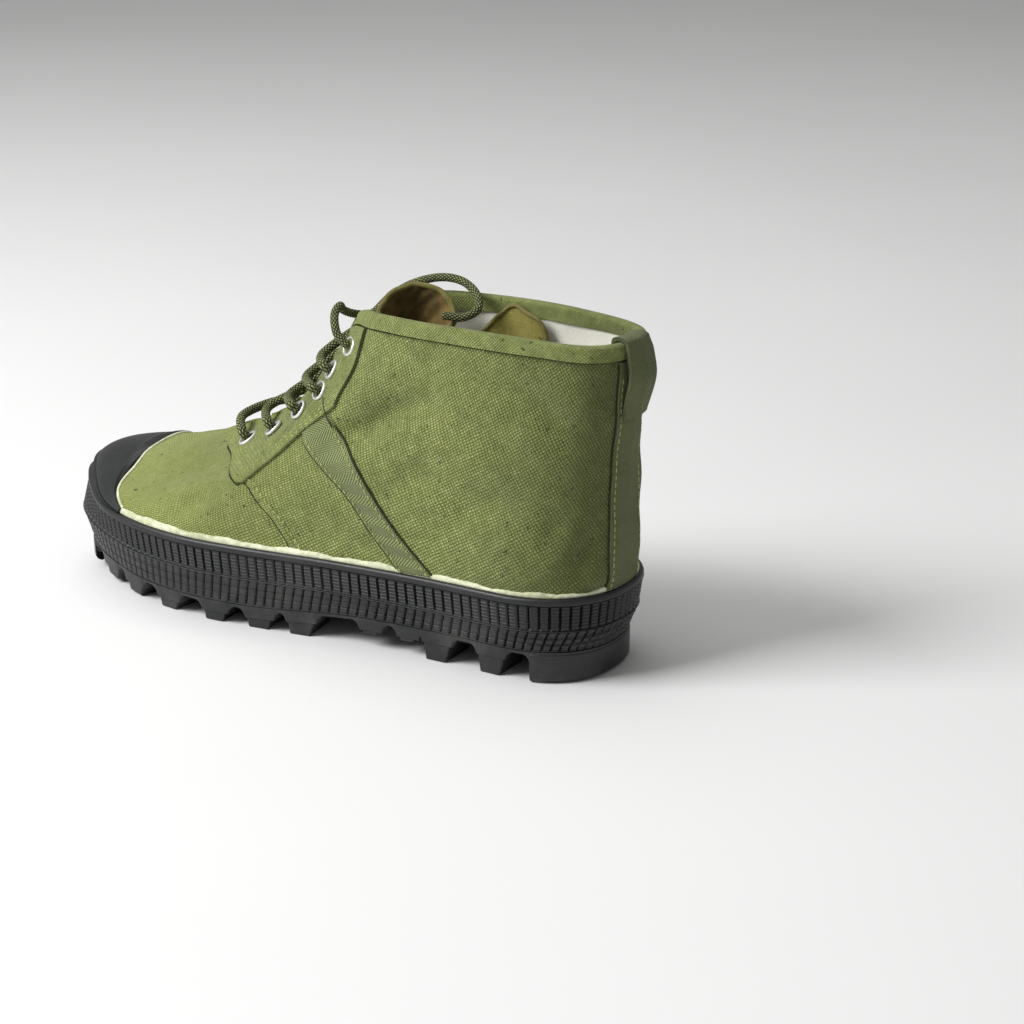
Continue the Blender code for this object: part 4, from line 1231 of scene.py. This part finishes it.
def build_laces():
    """Crossings: each strand rises from its eyelet, arcs over the edge and dives under the other edge."""
    under = -(CANVAS_WALL + CLEARANCE + LACE_RADIUS)
    last = len(EYELETS) - 1
    for number in range(last, 0, -1):
        for side, label in ((1, "a"), (-1, "b")):
            if number == last:
                start, lift = [over_edge(number, side, under)], LACE_RADIUS
            else:
                start, lift = lace_rise(number, side), LACE_ARCH
            end = over_edge(number - 1, -side, under)
            middle = (over_edge(number, side, under) + end) / 2
            lift = lift + (LACE_RADIUS if side > 0 else -LACE_RADIUS * 0.6)
            middle = np.array([middle[0], 0.0, middle[2] + lift])
            path = curve_points(start + [middle, end], 46)
            name = "lace_strand_%d%s" % (number + 1, label)
            piece = tube_mesh(name, path, STRAND_RADIUS, looks()["lace"])
            solids = ["lace_cross_%d" % (number + 1)] if side > 0 else []
            dress(piece, "lace", *solids)
    points = lace_rise(last, 1) + lace_rise(last, -1)[::-1]
    piece = tube_mesh("lace_bottom_bar", curve_points(points, 70), STRAND_RADIUS, looks()["lace"])
    dress(piece, "lace", "lace_bar")


def build_tongue():
    """A creased sheet under the lacing, from the toe to the curled hem, with a folded edge."""
    hem = (np.array(TONGUE_HEM) - [0.5, 0, 0]) * [SOLE_LENGTH, COLLAR_WIDTH, COLLAR_HEIGHT]
    depth = -(CANVAS_WALL + TONGUE_ROOM + TONGUE_WALL / 2)
    low = []
    for turn in np.linspace(0.992, turn_of(TONGUE_TOP), 10):
        outer, inner = (below_edge(at, TONGUE_DEPTHS, np.full(3, depth)) for at in (turn, 2 - turn))
        low.append(np.concatenate([outer, [(outer[-1] + inner[-1]) / 2], inner[::-1]]))
    low = np.array(low)
    rise = np.array([low[-1] + (hem - low[-1]) * share for share in np.linspace(0.0, 1.0, 5)[1:]])
    rows = np.concatenate([low, rise])
    across = np.array([curve_points(row, 43) for row in rows])
    sheet = np.stack([curve_points(across[:, k], 90) for k in range(43)], axis=1)
    normal = np.cross(np.gradient(sheet, axis=0), np.gradient(sheet, axis=1))
    normal = normal / np.linalg.norm(normal, axis=2)[..., None]
    i, j = np.meshgrid(np.linspace(0, 1, 90), np.linspace(0, 1, 43), indexing="ij")
    creased = 0.0005 * np.sin(26 * i + 5 * j) * np.sin(9 * j + 2) + 0.0004 * np.sin(55 * j + 6 * i) * i
    sheet = sheet + creased[..., None] * normal
    half = TONGUE_WALL / 2
    piece = slab_mesh("tongue_cloth", sheet + half * normal, sheet - half * normal, looks()["tongue"], 0.0002)
    # the back face of the tongue takes the dark painted shade of its hollow
    piece.data.materials.append(looks()["tongue_back_shade"])
    for number, face in enumerate(piece.data.polygons):
        if number < 89 * 86 and number % 86 >= 43:
            face.material_index = 1
    dress(piece, "tongue", "tongue")
    hem_path = np.concatenate([sheet[62:, 0], sheet[-1, 1:-1], sheet[62:, -1][::-1]])
    hem_path = curve_points(hem_path[::3], 150)
    dress(tube_mesh("tongue_hem_fold", hem_path, TONGUE_HEM_RADIUS, looks()["tongue"], sides=10), "tongue")


def build_gusset():
    """The tongue's far wing, folded against the lining below the collar on the inner side."""
    top = curve_points([(x, GUSSET_SIDE, z) for x, z in GUSSET_TOP], 34)
    low = top * [1, 1, 0] + [0, -0.0005, GUSSET_FOOT]
    shares = np.linspace(0.0, 1.0, 18)[None, :, None]
    sheet = low[:, None] + (top - low)[:, None] * shares
    lean = 0.0012 * np.sin(np.linspace(0, 3 * math.pi, 34))[:, None] * np.linspace(0.2, 1.0, 18)[None, :]
    sheet[..., 1] += lean
    back = sheet - np.array([0, GUSSET_WALL, 0])
    dress(slab_mesh("tongue_gusset", sheet, back, looks()["tongue"], 0.0002), "tongue")
    rim = curve_points(np.concatenate([sheet[0, 6:], sheet[1:-1, -1], sheet[-1, 6:][::-1]])[::3], 90)
    dress(tube_mesh("tongue_gusset_fold", rim, GUSSET_HEM_RADIUS, looks()["tongue"], sides=8), "tongue")


def cap_edge(steps):
    """Turns from side to side of the toe cap, and v at its upper edge there."""
    aways = np.linspace(-CAP[-1][0], CAP[-1][0], steps)
    return 1 + aways, np.array([interpolate(CAP, 1, abs(away)) for away in aways])


def build_toe_cap():
    """A domed shell with a rolled lower edge and a thin upper one."""
    turn, top = (values[:, None] for values in cap_edge(170))
    share = np.linspace(0.0, 1.0, 40)[None, :]
    turn, v = np.broadcast_arrays(turn, top * share)
    thin = 1 - 0.6 * smoothstep(0.95, 1.0, share)
    roll = 0.0006 * swell(share, 0.10, 0.035) - 0.0012 * swell(share, 0.18, 0.025)
    roll = roll + 0.0006 * swell(share, 0.94, 0.02)
    roll = roll + CAP_DOME * np.sin(math.pi * share) * swell(turn, 1, 0.19)
    bare = bare_surface(turn, v)
    normal = surface_normal(turn, v)
    outer = bare + (OVERLAY_GAP + CAP_WALL * thin + roll)[..., None] * normal
    inner = bare + 0.5 * OVERLAY_GAP * normal
    keep_above_foxing(turn, outer, inner)
    dress(slab_mesh("cap_dome", outer, inner, looks()["cap"], 0.0002), "rubber", "toe_cap")


def rib_wave(run, pitch, slant=0.0):
    """1 on a rib and 0 in the groove beside it, with steep sides."""
    share = (run / pitch + slant) % 1.0
    return smoothstep(0.0, 0.08, share) * smoothstep(0.0, 0.08, 0.92 - share)


def outline_rings(turns, levels):
    """One ring for each pair of inset and height."""
    return [inset_outline(turns, inset, height) for inset, height in levels]


def side_band(turns, steps, insets, heights, fade, slant):
    """Rings of a ribbed band that climbs from the first inset and height to the second ones."""
    run = np.interp(turns, TURNS, LENGTHS)
    levels = []
    for share in np.linspace(0.0, 1.0, steps):
        wave = rib_wave(run, FOXING_RIB_PITCH, slant * share)
        line = 0.5 - 0.5 * math.cos(2 * math.pi * share * RIB_LINES)
        ribbed = float(smoothstep(0.0, fade, share) * smoothstep(0.0, 0.05, 1 - share))
        depth = (FOXING_RIB_DEPTH * (1 - wave) + RIB_LINE_DEPTH * line) * ribbed
        inset = insets[0] * (1 - share) + insets[1] * share
        levels.append((inset + depth, heights[0] + (heights[1] - heights[0]) * share))
    return outline_rings(turns, levels)


def build_foxing():
    """The upper ribbed band, with a plain lip along its top that leans in at the toe."""
    turns = even_turns(BAND_TURNS + 1)[:-1]
    along = along_at(turns)
    low, top = PARTING_HEIGHT + CLEARANCE + toe_lift(along), foxing_top(along)
    lip = top - FOXING_LIP
    lean = toe_lean(along)
    lip_lean = LIP_LEAN * lean
    rings = side_band(turns, 22, (PARTING_TAPER + 0.0003, lip_lean + 0.0003), (low, lip), 0.07, 0.0)
    rings += outline_rings(
        turns,
        (
            (lip_lean + 0.0006, lip + 0.0002),
            (lip_lean, lip + 0.0005),
            (lip_lean + 0.0001, lip + 0.0020),
            (lean + 0.0004, top - 0.0004),
            (lean + 0.0010, top),
            (lean + FOXING_WALL, top),
            (PARTING_TAPER + RUBBER_WALL, low),
        ),
    )
    points = np.stack(rings, axis=1)
    uv = grid_uv(points, wrap=True, wrap_rows=True)
    piece = grid_mesh("foxing_ribs", points, uv, looks()["rubber"], True, True)
    piece.data.set_sharp_from_angle(angle=math.radians(50))
    dress(piece, "rubber", "foxing")


def arch_fill(along):
    """How far the rubber hangs below the plate beside each lug, so that the gaps between lugs are arched."""
    fill = np.zeros(along.shape)
    edges = [(a - LUG_HEEL_SLOPE / SOLE_LENGTH, b + LUG_TOE_SLOPE / SOLE_LENGTH) for a, b, _ in LUGS]
    edges += [(-1.0, HEEL_BLOCK_END), (TOE_BLOCK_START, 2.0)]
    for first, last in edges:
        gap = np.maximum(np.maximum(first - along, along - last), 0.0) * SOLE_LENGTH
        left = np.clip(ARCH_FILLET - gap, 0.0, ARCH_FILLET)
        fill = np.maximum(fill, ARCH_FILLET - np.sqrt(ARCH_FILLET**2 - left**2))
    return fill


def build_outsole():
    """The cupped side of the outsole, arched between its lugs, and then the tread."""
    turns = even_turns(BAND_TURNS + 1)[:-1]
    along = along_at(turns)
    bottom = plate_bottom(along)
    top, floor = PARTING_HEIGHT + toe_lift(along), FLOOR_HEIGHT + toe_lift(along)
    hanging = bottom - arch_fill(along)
    rings = outline_rings(
        turns,
        (
            (PLATE_REACH, bottom + 0.0008),
            (SIDE_TAPER + LUG_DEPTH + 0.0012, bottom),
            (SIDE_TAPER + LUG_DEPTH - 0.0010, hanging),
            (SIDE_TAPER + 0.0012, hanging),
            (SIDE_TAPER + 0.0002, hanging + 0.0006),
            (SIDE_TAPER - 0.0005, bottom + EDGE_LIP),
            (SIDE_TAPER + 0.0002, bottom + EDGE_LIP + 0.0003),
        ),
    )
    heights = bottom + EDGE_LIP + 0.0004, top - 0.0004
    rings += side_band(turns, 18, (SIDE_TAPER - 0.0003, PARTING_TAPER + 0.0003), heights, 0.08, 0.9)
    rings += outline_rings(
        turns,
        (
            (PARTING_TAPER + 0.0001, top - 0.0002),
            (PARTING_TAPER + 0.0003, top),
            (PARTING_TAPER + RUBBER_WALL, top),
            (side_inset(FLOOR_HEIGHT) + RUBBER_WALL, floor),
            (PLATE_REACH, floor),
        ),
    )
    piece = closed_band("outsole_side", np.stack(rings, axis=1), "rubber")
    piece.data.set_sharp_from_angle(angle=math.radians(50))
    dress(piece, "rubber", "outsole")
    build_tread()


def tread_block(bm, *rings):
    """A closed block through rings of points, lowest first."""
    made = [[bm.verts.new(tuple(point)) for point in ring] for ring in rings]
    count = len(made[0])
    for lower, upper in zip(made, made[1:]):
        for k in range(count):
            j = (k + 1) % count
            bm.faces.new((lower[k], lower[j], upper[j], upper[k]))
    bm.faces.new(made[0])
    bm.faces.new(made[-1])


def build_tread():
    """Edge cleats, centre bars, heel and toe blocks and the plate, with rounded edges."""
    bm = bmesh.new()
    for start, end, lifted in LUGS:
        for side in (1, -1):
            rings = []
            for lower in (True, False):
                first = start if lower else start - LUG_HEEL_SLOPE / SOLE_LENGTH
                last = end if lower else end + LUG_TOE_SLOPE / SOLE_LENGTH
                margin = SIDE_TAPER + LUG_MARGIN + (LUG_TAPER if lower else 0.0)
                turns = np.array([side_turn(turn_of(along), side) for along in np.linspace(first, last, 5)])
                turns = np.concatenate([turns, turns[::-1]])
                insets = np.array([margin] * 5 + [SIDE_TAPER + LUG_DEPTH] * 5)
                ground = toe_lift(along_at(turns)) + (ARCH_LUG_LIFT if lifted else 0.0)
                height = ground if lower else plate_bottom(along_at(turns)) + LUG_SINK
                rings.append(inset_outline(turns, insets, height))
            tread_block(bm, *rings)
    for along in CENTRE_BARS:
        shift = interpolate(OUTLINE, 2, along) * BALL_WIDTH
        x, half, wide = (along - 0.5) * SOLE_LENGTH, CENTRE_BAR_LENGTH / 2, CENTRE_BAR_HALF
        corners = ((-half, -wide), (half, -wide), (half, wide), (-half, wide))
        grow = 1 + LUG_TAPER / half
        low = [(x + a, shift + b, toe_lift(along)) for a, b in corners]
        high = [(x + a * grow, shift + b, plate_bottom(along) + LUG_SINK) for a, b in corners]
        tread_block(bm, low, high)
    heel, toe = turn_of(HEEL_BLOCK_END), 1 - turn_of(TOE_BLOCK_START)
    for turns in (heel * np.linspace(-1, 1, 49), 1 + toe * np.linspace(-1, 1, 33)):
        lift = toe_lift(along_at(turns))
        levels = (
            (SIDE_TAPER + 0.0022, lift),
            (SIDE_TAPER + 0.0004, lift + 0.0007),
            (SIDE_TAPER - 0.0005, lift + 0.0022),
            (SIDE_TAPER - 0.0006, plate_bottom(along_at(turns)) + LUG_SINK),
        )
        tread_block(bm, *outline_rings(turns, levels))
    bmesh.ops.recalc_face_normals(bm, faces=bm.faces)
    mesh = bpy.data.meshes.new("tread_blocks")
    bm.to_mesh(mesh)
    bm.free()
    mesh.materials.append(looks()["rubber"])
    mesh.shade_smooth()
    mesh.set_sharp_from_angle(angle=math.radians(35))
    piece = link_new("tread_blocks", mesh)
    piece.location = Vector(ORIGIN)
    round_edges(piece, 0.0010, 3, 35)
    dress(piece, "rubber")
    turns = upper_turns(160)
    profile = [(inward, plate_bottom(along_at(turns))) for inward in (0.0, 0.3, 0.7, 0.999)]
    sheet = flat_sheet(turns, SIDE_TAPER + 0.0004, profile, 0.8)
    dress(closed_band("sole_plate", sheet, "rubber"), "rubber")


def build_cement():
    """The cream line of rubber cement along the foxing's top and up the rear edge of the toe cap."""
    reach = CAP[-1][0]
    turns = even_turns(1400)
    turns = turns[np.abs(turns - 1) > reach - 0.012]
    run = np.interp(turns, TURNS, LENGTHS)
    wander = 0.00028 * np.sin(run * 170) + 0.00018 * np.sin(run * 430 + 1) + 0.00006 * np.sin(run * 1330)
    near_toe = swell(np.abs(turns - 1), reach, 0.22)
    width = CEMENT_HEIGHT * (0.50 + 0.60 * near_toe) + wander
    for label, chosen in (("outer", turns < 1), ("inner", turns > 1)):
        turn, wide = turns[chosen], width[chosen]
        columns = []
        for share, out in ((-0.15, 0.0009), (0.2, 0.0010), (0.6, 0.0009), (0.92, 0.0005), (1.0, -0.0002)):
            points = cloth_point(turn, np.maximum(wide * share, 0.0) / 0.075, out)
            points[:, 2] = np.maximum(points[:, 2], foxing_top(along_at(turn)) + 0.0001 + wide * share)
            columns.append(points)
        points = np.stack(columns, axis=1)
        dress(grid_mesh("cement_line_" + label, points, grid_uv(points), looks()["cement"]), "rubber")
    turn, top = cap_edge(260)
    middle = cloth_point(turn, top + 0.006, 0.0002)
    middle[:, 2] = np.maximum(middle[:, 2], foxing_top(along_at(turn)) + 0.0008)
    rings = tube_points(middle, CEMENT_CORD_RADIUS, 8)
    uv = grid_uv(rings, wrap_rows=True)
    piece = grid_mesh("cement_cap_edge", rings, uv, looks()["cement"], wrap_rows=True)
    change_mesh(piece)
    dress(piece, "rubber")


def build_seams():
    """Dark sunk thread in the seams: round facings, tapes and backstay, and below the binding."""
    paths = []
    facing, tape = np.array(facing_rows(70)), np.array(tape_rows(60, 21))
    front = facing[:, -1][facing[:, -1, 0] > turn_of(FACING_CORNER)]
    quarter, seam = curve_points(QUARTER_EDGE, 20), curve_points(SEAM, 60)
    for side in (1, -1):
        for route, down, aside in ((front, -0.008, 0.0), (tape[:, 0], 0.0, 0.0015), (tape[:, -1], 0.0, -0.0015)):
            turn = side_turn(route[:, 0] + aside, side)
            paths.append(cloth_point(turn, np.maximum(route[:, 1] + down, 0.0), SEAM_LIFT))
        paths.append(cloth_path(quarter, OVERLAY_GAP + TAPE_WALL + 0.0003, side)[0])
        paths.append(cloth_path(seam, 0.0001, side)[0])
    reach = heel_turn(STAY_HALF_WIDTH)
    for across in (-1.03, 1.03):
        paths.append(cloth_point(reach * across, np.linspace(0.0, 0.93, 70), 0.0004))
    turns = np.linspace(-turn_of(COLLAR_FRONT), turn_of(COLLAR_FRONT), 200)
    paths.append(np.array([below_edge(t, [BINDING_DEPTH + 0.0003], [0.0004])[0] for t in turns]))
    dress(tube_rows("seam_line_thread_and_shadow", paths, SEAM_RADIUS, looks()["seam"]), "canvas")


def tube_rows(name, paths, radius, look, sides=6):
    """Several thin tubes in one mesh."""
    verts, faces = [], []
    for path in paths:
        base = len(verts)
        add_tube(verts, faces, tube_points(path, radius, sides))
        faces.append(tuple(range(base, base + sides)))
        faces.append(tuple(range(len(verts) - sides, len(verts))))
    corners = sum(len(face) for face in faces)
    piece = place_mesh(name, verts, faces, np.zeros((corners, 2)), look)
    change_mesh(piece)
    return piece


def build_stitches():
    """Rows of thread along facings, tapes and seams."""
    lift = OVERLAY_GAP + TAPE_WALL
    facing, tape = np.array(facing_rows(60)), np.array(tape_rows(60, 21))
    routes = [(facing[2:-3, column], lift) for column in (27, 25)]
    routes += [(tape[:, column], lift) for column in (2, 18)]
    routes.append((curve_points([(turn - 0.012, v) for turn, v in SEAM], 60), 0.0002))
    paths = [cloth_path(route, out, side) for side in (1, -1) for route, out in routes]
    reach = heel_turn(STAY_HALF_WIDTH)
    for across in (-0.84, 0.84):
        v = np.linspace(0.01, 0.90, 80)
        paths.append(cloth_path(np.stack([np.full(80, reach * across), v], axis=1), lift))
    dress(stitch_mesh("sewn_thread", paths, looks()["thread"]), "tape")


def build_stage():
    """Pale floor and backdrop, and soft lights."""
    scene = bpy.context.scene
    sizes = scene.boot_sizes
    width, depth, curve = 6.0, 3.2, 0.8
    profile = [(3.0, 0.0), (-depth + curve, 0.0)]
    for bend in np.linspace(0.1, math.pi / 2, 12):
        profile.append((-depth + curve - curve * math.sin(bend), curve * (1 - math.cos(bend))))
    profile.append((-depth, 4.0))
    look = Nodes("floor_pale", 0.85)
    soft = look.noise(look.place(), 3.0, 2.0)
    look.finish(look.mix(soft, (0.80, 0.80, 0.80), (0.86, 0.86, 0.86)), soft, 0.0001)
    ahead = Vector((*CAMERA_FORWARD[:2], 0)).normalized()
    side = Vector((-ahead.y, ahead.x, 0))
    verts = []
    for back, up in profile:
        verts += [tuple(side * (across * width) - ahead * back + Vector((0, 0, up))) for across in (-1, 1)]
    faces = [(2 * k, 2 * k + 1, 2 * k + 3, 2 * k + 2) for k in range(len(profile) - 1)]
    mesh = bpy.data.meshes.new("floor")
    mesh.from_pydata(verts, [], faces)
    mesh.shade_smooth()
    mesh.materials.append(look.look)
    link_new("floor", mesh)
    world = bpy.data.worlds.new("studio")
    world.use_nodes = True
    background = world.node_tree.nodes["Background"]
    background.inputs["Color"].default_value = (1.0, 1.0, 0.98, 1.0)
    background.inputs["Strength"].default_value = sizes.world_light
    scene.world = world
    scene.view_settings.view_transform = "Standard"
    for name, offset, size, power in (
        # seen from the boot: towards the camera, to the camera's right, and up
        ("key_light", (0.45, -1.25, 1.25), 0.9, sizes.key_light),
        ("fill_light", (1.2, 0.9, 0.8), 1.4, sizes.key_light * 0.02),
        ("top_light", (-0.4, -0.3, 1.9), 1.5, sizes.key_light * 0.30),
    ):
        lamp = bpy.data.lights.new(name, "AREA")
        lamp.size = size
        lamp.energy = power
        light = link_new(name, lamp)
        light.location = -ahead * offset[0] - side * offset[1] + Vector((0, 0, offset[2]))
        light.rotation_euler = (Vector((0, 0, 0.06)) - light.location).to_track_quat("-Z", "Y").to_euler()


def build_camera():
    scene = bpy.context.scene
    lens = bpy.data.cameras.new("photo_camera")
    lens.lens = scene.boot_sizes.lens
    lens.sensor_width = 36.0
    camera = link_new("photo_camera", lens)
    forward, up = Vector(CAMERA_FORWARD).normalized(), Vector(CAMERA_UP)
    right = forward.cross(up).normalized()
    up = right.cross(forward)
    turn = Matrix((right, up, -forward)).transposed().to_4x4()
    camera.matrix_world = Matrix.Translation(Vector(CAMERA_PLACE) + Vector(ORIGIN)) @ turn
    scene.camera = camera


class BootSizes(bpy.types.PropertyGroup):
    """Sizes and light that a user would change."""

    weave_pitch: FloatProperty(
        name="Weave Pitch",
        description="Spacing of the canvas's threads",
        default=0.00125,
        unit="LENGTH",
    )
    key_light: FloatProperty(name="Key Light", description="Power of the main light", default=36.0)
    world_light: FloatProperty(name="World Light", description="Strength of the even light", default=0.22)
    lens: FloatProperty(name="Lens", description="Focal length of the camera, in millimetres", default=85.43)


def shade(name, description, value):
    return FloatVectorProperty(
        name=name,
        description=description,
        default=value,
        subtype="COLOR",
        size=3,
        min=0,
        max=1,
    )


class BootColours(bpy.types.PropertyGroup):
    """Linear colours of the boot's materials."""

    canvas: shade("Canvas", "Olive canvas", (0.215, 0.250, 0.060))
    canvas_dark: shade("Canvas Shadow", "Gaps between the threads", (0.052, 0.066, 0.011))
    canvas_light: shade("Canvas Light", "Worn tops of the threads", (0.520, 0.570, 0.220))
    vamp: shade("Vamp", "Yellower canvas at the front", (0.340, 0.380, 0.085))
    tape: shade("Tape", "Crests of the herringbone tape", (0.270, 0.310, 0.125))
    tape_dark: shade("Tape Shadow", "Grooves of the herringbone tape", (0.070, 0.085, 0.022))
    tongue: shade("Tongue", "Yellow-olive tongue", (0.330, 0.290, 0.060))
    lace: shade("Lace", "Dark strands of the lace", (0.016, 0.022, 0.005))
    lace_fleck: shade("Lace Fleck", "Light flecks of the lace", (0.400, 0.430, 0.170))
    rubber: shade("Rubber", "Black rubber", (0.011, 0.012, 0.012))
    dust: shade("Dust", "Pale dust on the rubber", (0.150, 0.150, 0.140))


def piece_operator(name, label, described, *builders):
    """An operator that builds one group of like pieces."""

    def execute(self, context):
        for build in builders:
            build()
        return {"FINISHED"}

    return type(
        "BOOT_OT_" + name,
        (bpy.types.Operator,),
        {"__doc__": described, "bl_idname": "boot." + name, "bl_label": label, "execute": execute},
    )


OPERATORS = (
    piece_operator("camera", "Camera", "Places the photograph's camera", build_camera),
    piece_operator("lace_end", "Lace End", "Lays the lace's free end", build_lace_end),
    piece_operator("stage", "Stage", "Makes the floor and the lights", build_stage),
    piece_operator("canvas", "Canvas", "Makes canvas, lining and insole", build_canvas, build_insole),
    piece_operator("facings", "Facings", "Makes the facings under the eyelets", build_facings),
    piece_operator("tapes", "Tapes", "Makes the tapes", build_tapes, build_binding, build_pull_tab),
    piece_operator("tongue", "Tongue", "Makes the tongue and its far wing", build_tongue, build_gusset),
    piece_operator("eyelets", "Eyelets", "Makes the metal eyelets", build_eyelets),
    piece_operator("laces", "Laces", "Runs the lace through the eyelets", build_laces),
    piece_operator("rubber", "Rubber", "Makes the rubber parts", build_outsole, build_foxing, build_toe_cap),
    piece_operator("trim", "Trim", "Adds cement, seams and stitches", build_cement, build_seams, build_stitches),
)


class BOOT_PT_panel(bpy.types.Panel):
    """Lists the sizes, colours and pieces of the boot."""

    bl_idname = "BOOT_PT_panel"
    bl_label = "Jungle Boot"
    bl_space_type = "VIEW_3D"
    bl_region_type = "UI"
    bl_category = "Boot"

    def draw(self, context):
        for group in (context.scene.boot_sizes, context.scene.boot_colours):
            for key in group.__annotations__:
                self.layout.prop(group, key)
        for operator in OPERATORS:
            self.layout.operator(operator.bl_idname)


CLASSES = (BootSizes, BootColours, *OPERATORS, BOOT_PT_panel)


def register():
    for made in CLASSES:
        bpy.utils.register_class(made)
    bpy.types.Scene.boot_sizes = PointerProperty(type=BootSizes)
    bpy.types.Scene.boot_colours = PointerProperty(type=BootColours)


def unregister():
    del bpy.types.Scene.boot_colours
    del bpy.types.Scene.boot_sizes
    for made in reversed(CLASSES):
        bpy.utils.unregister_class(made)


def main():
    register()
    for operator in OPERATORS:
        group, name = operator.bl_idname.split(".")
        getattr(getattr(bpy.ops, group), name)()


if __name__ == "__main__":
    main()
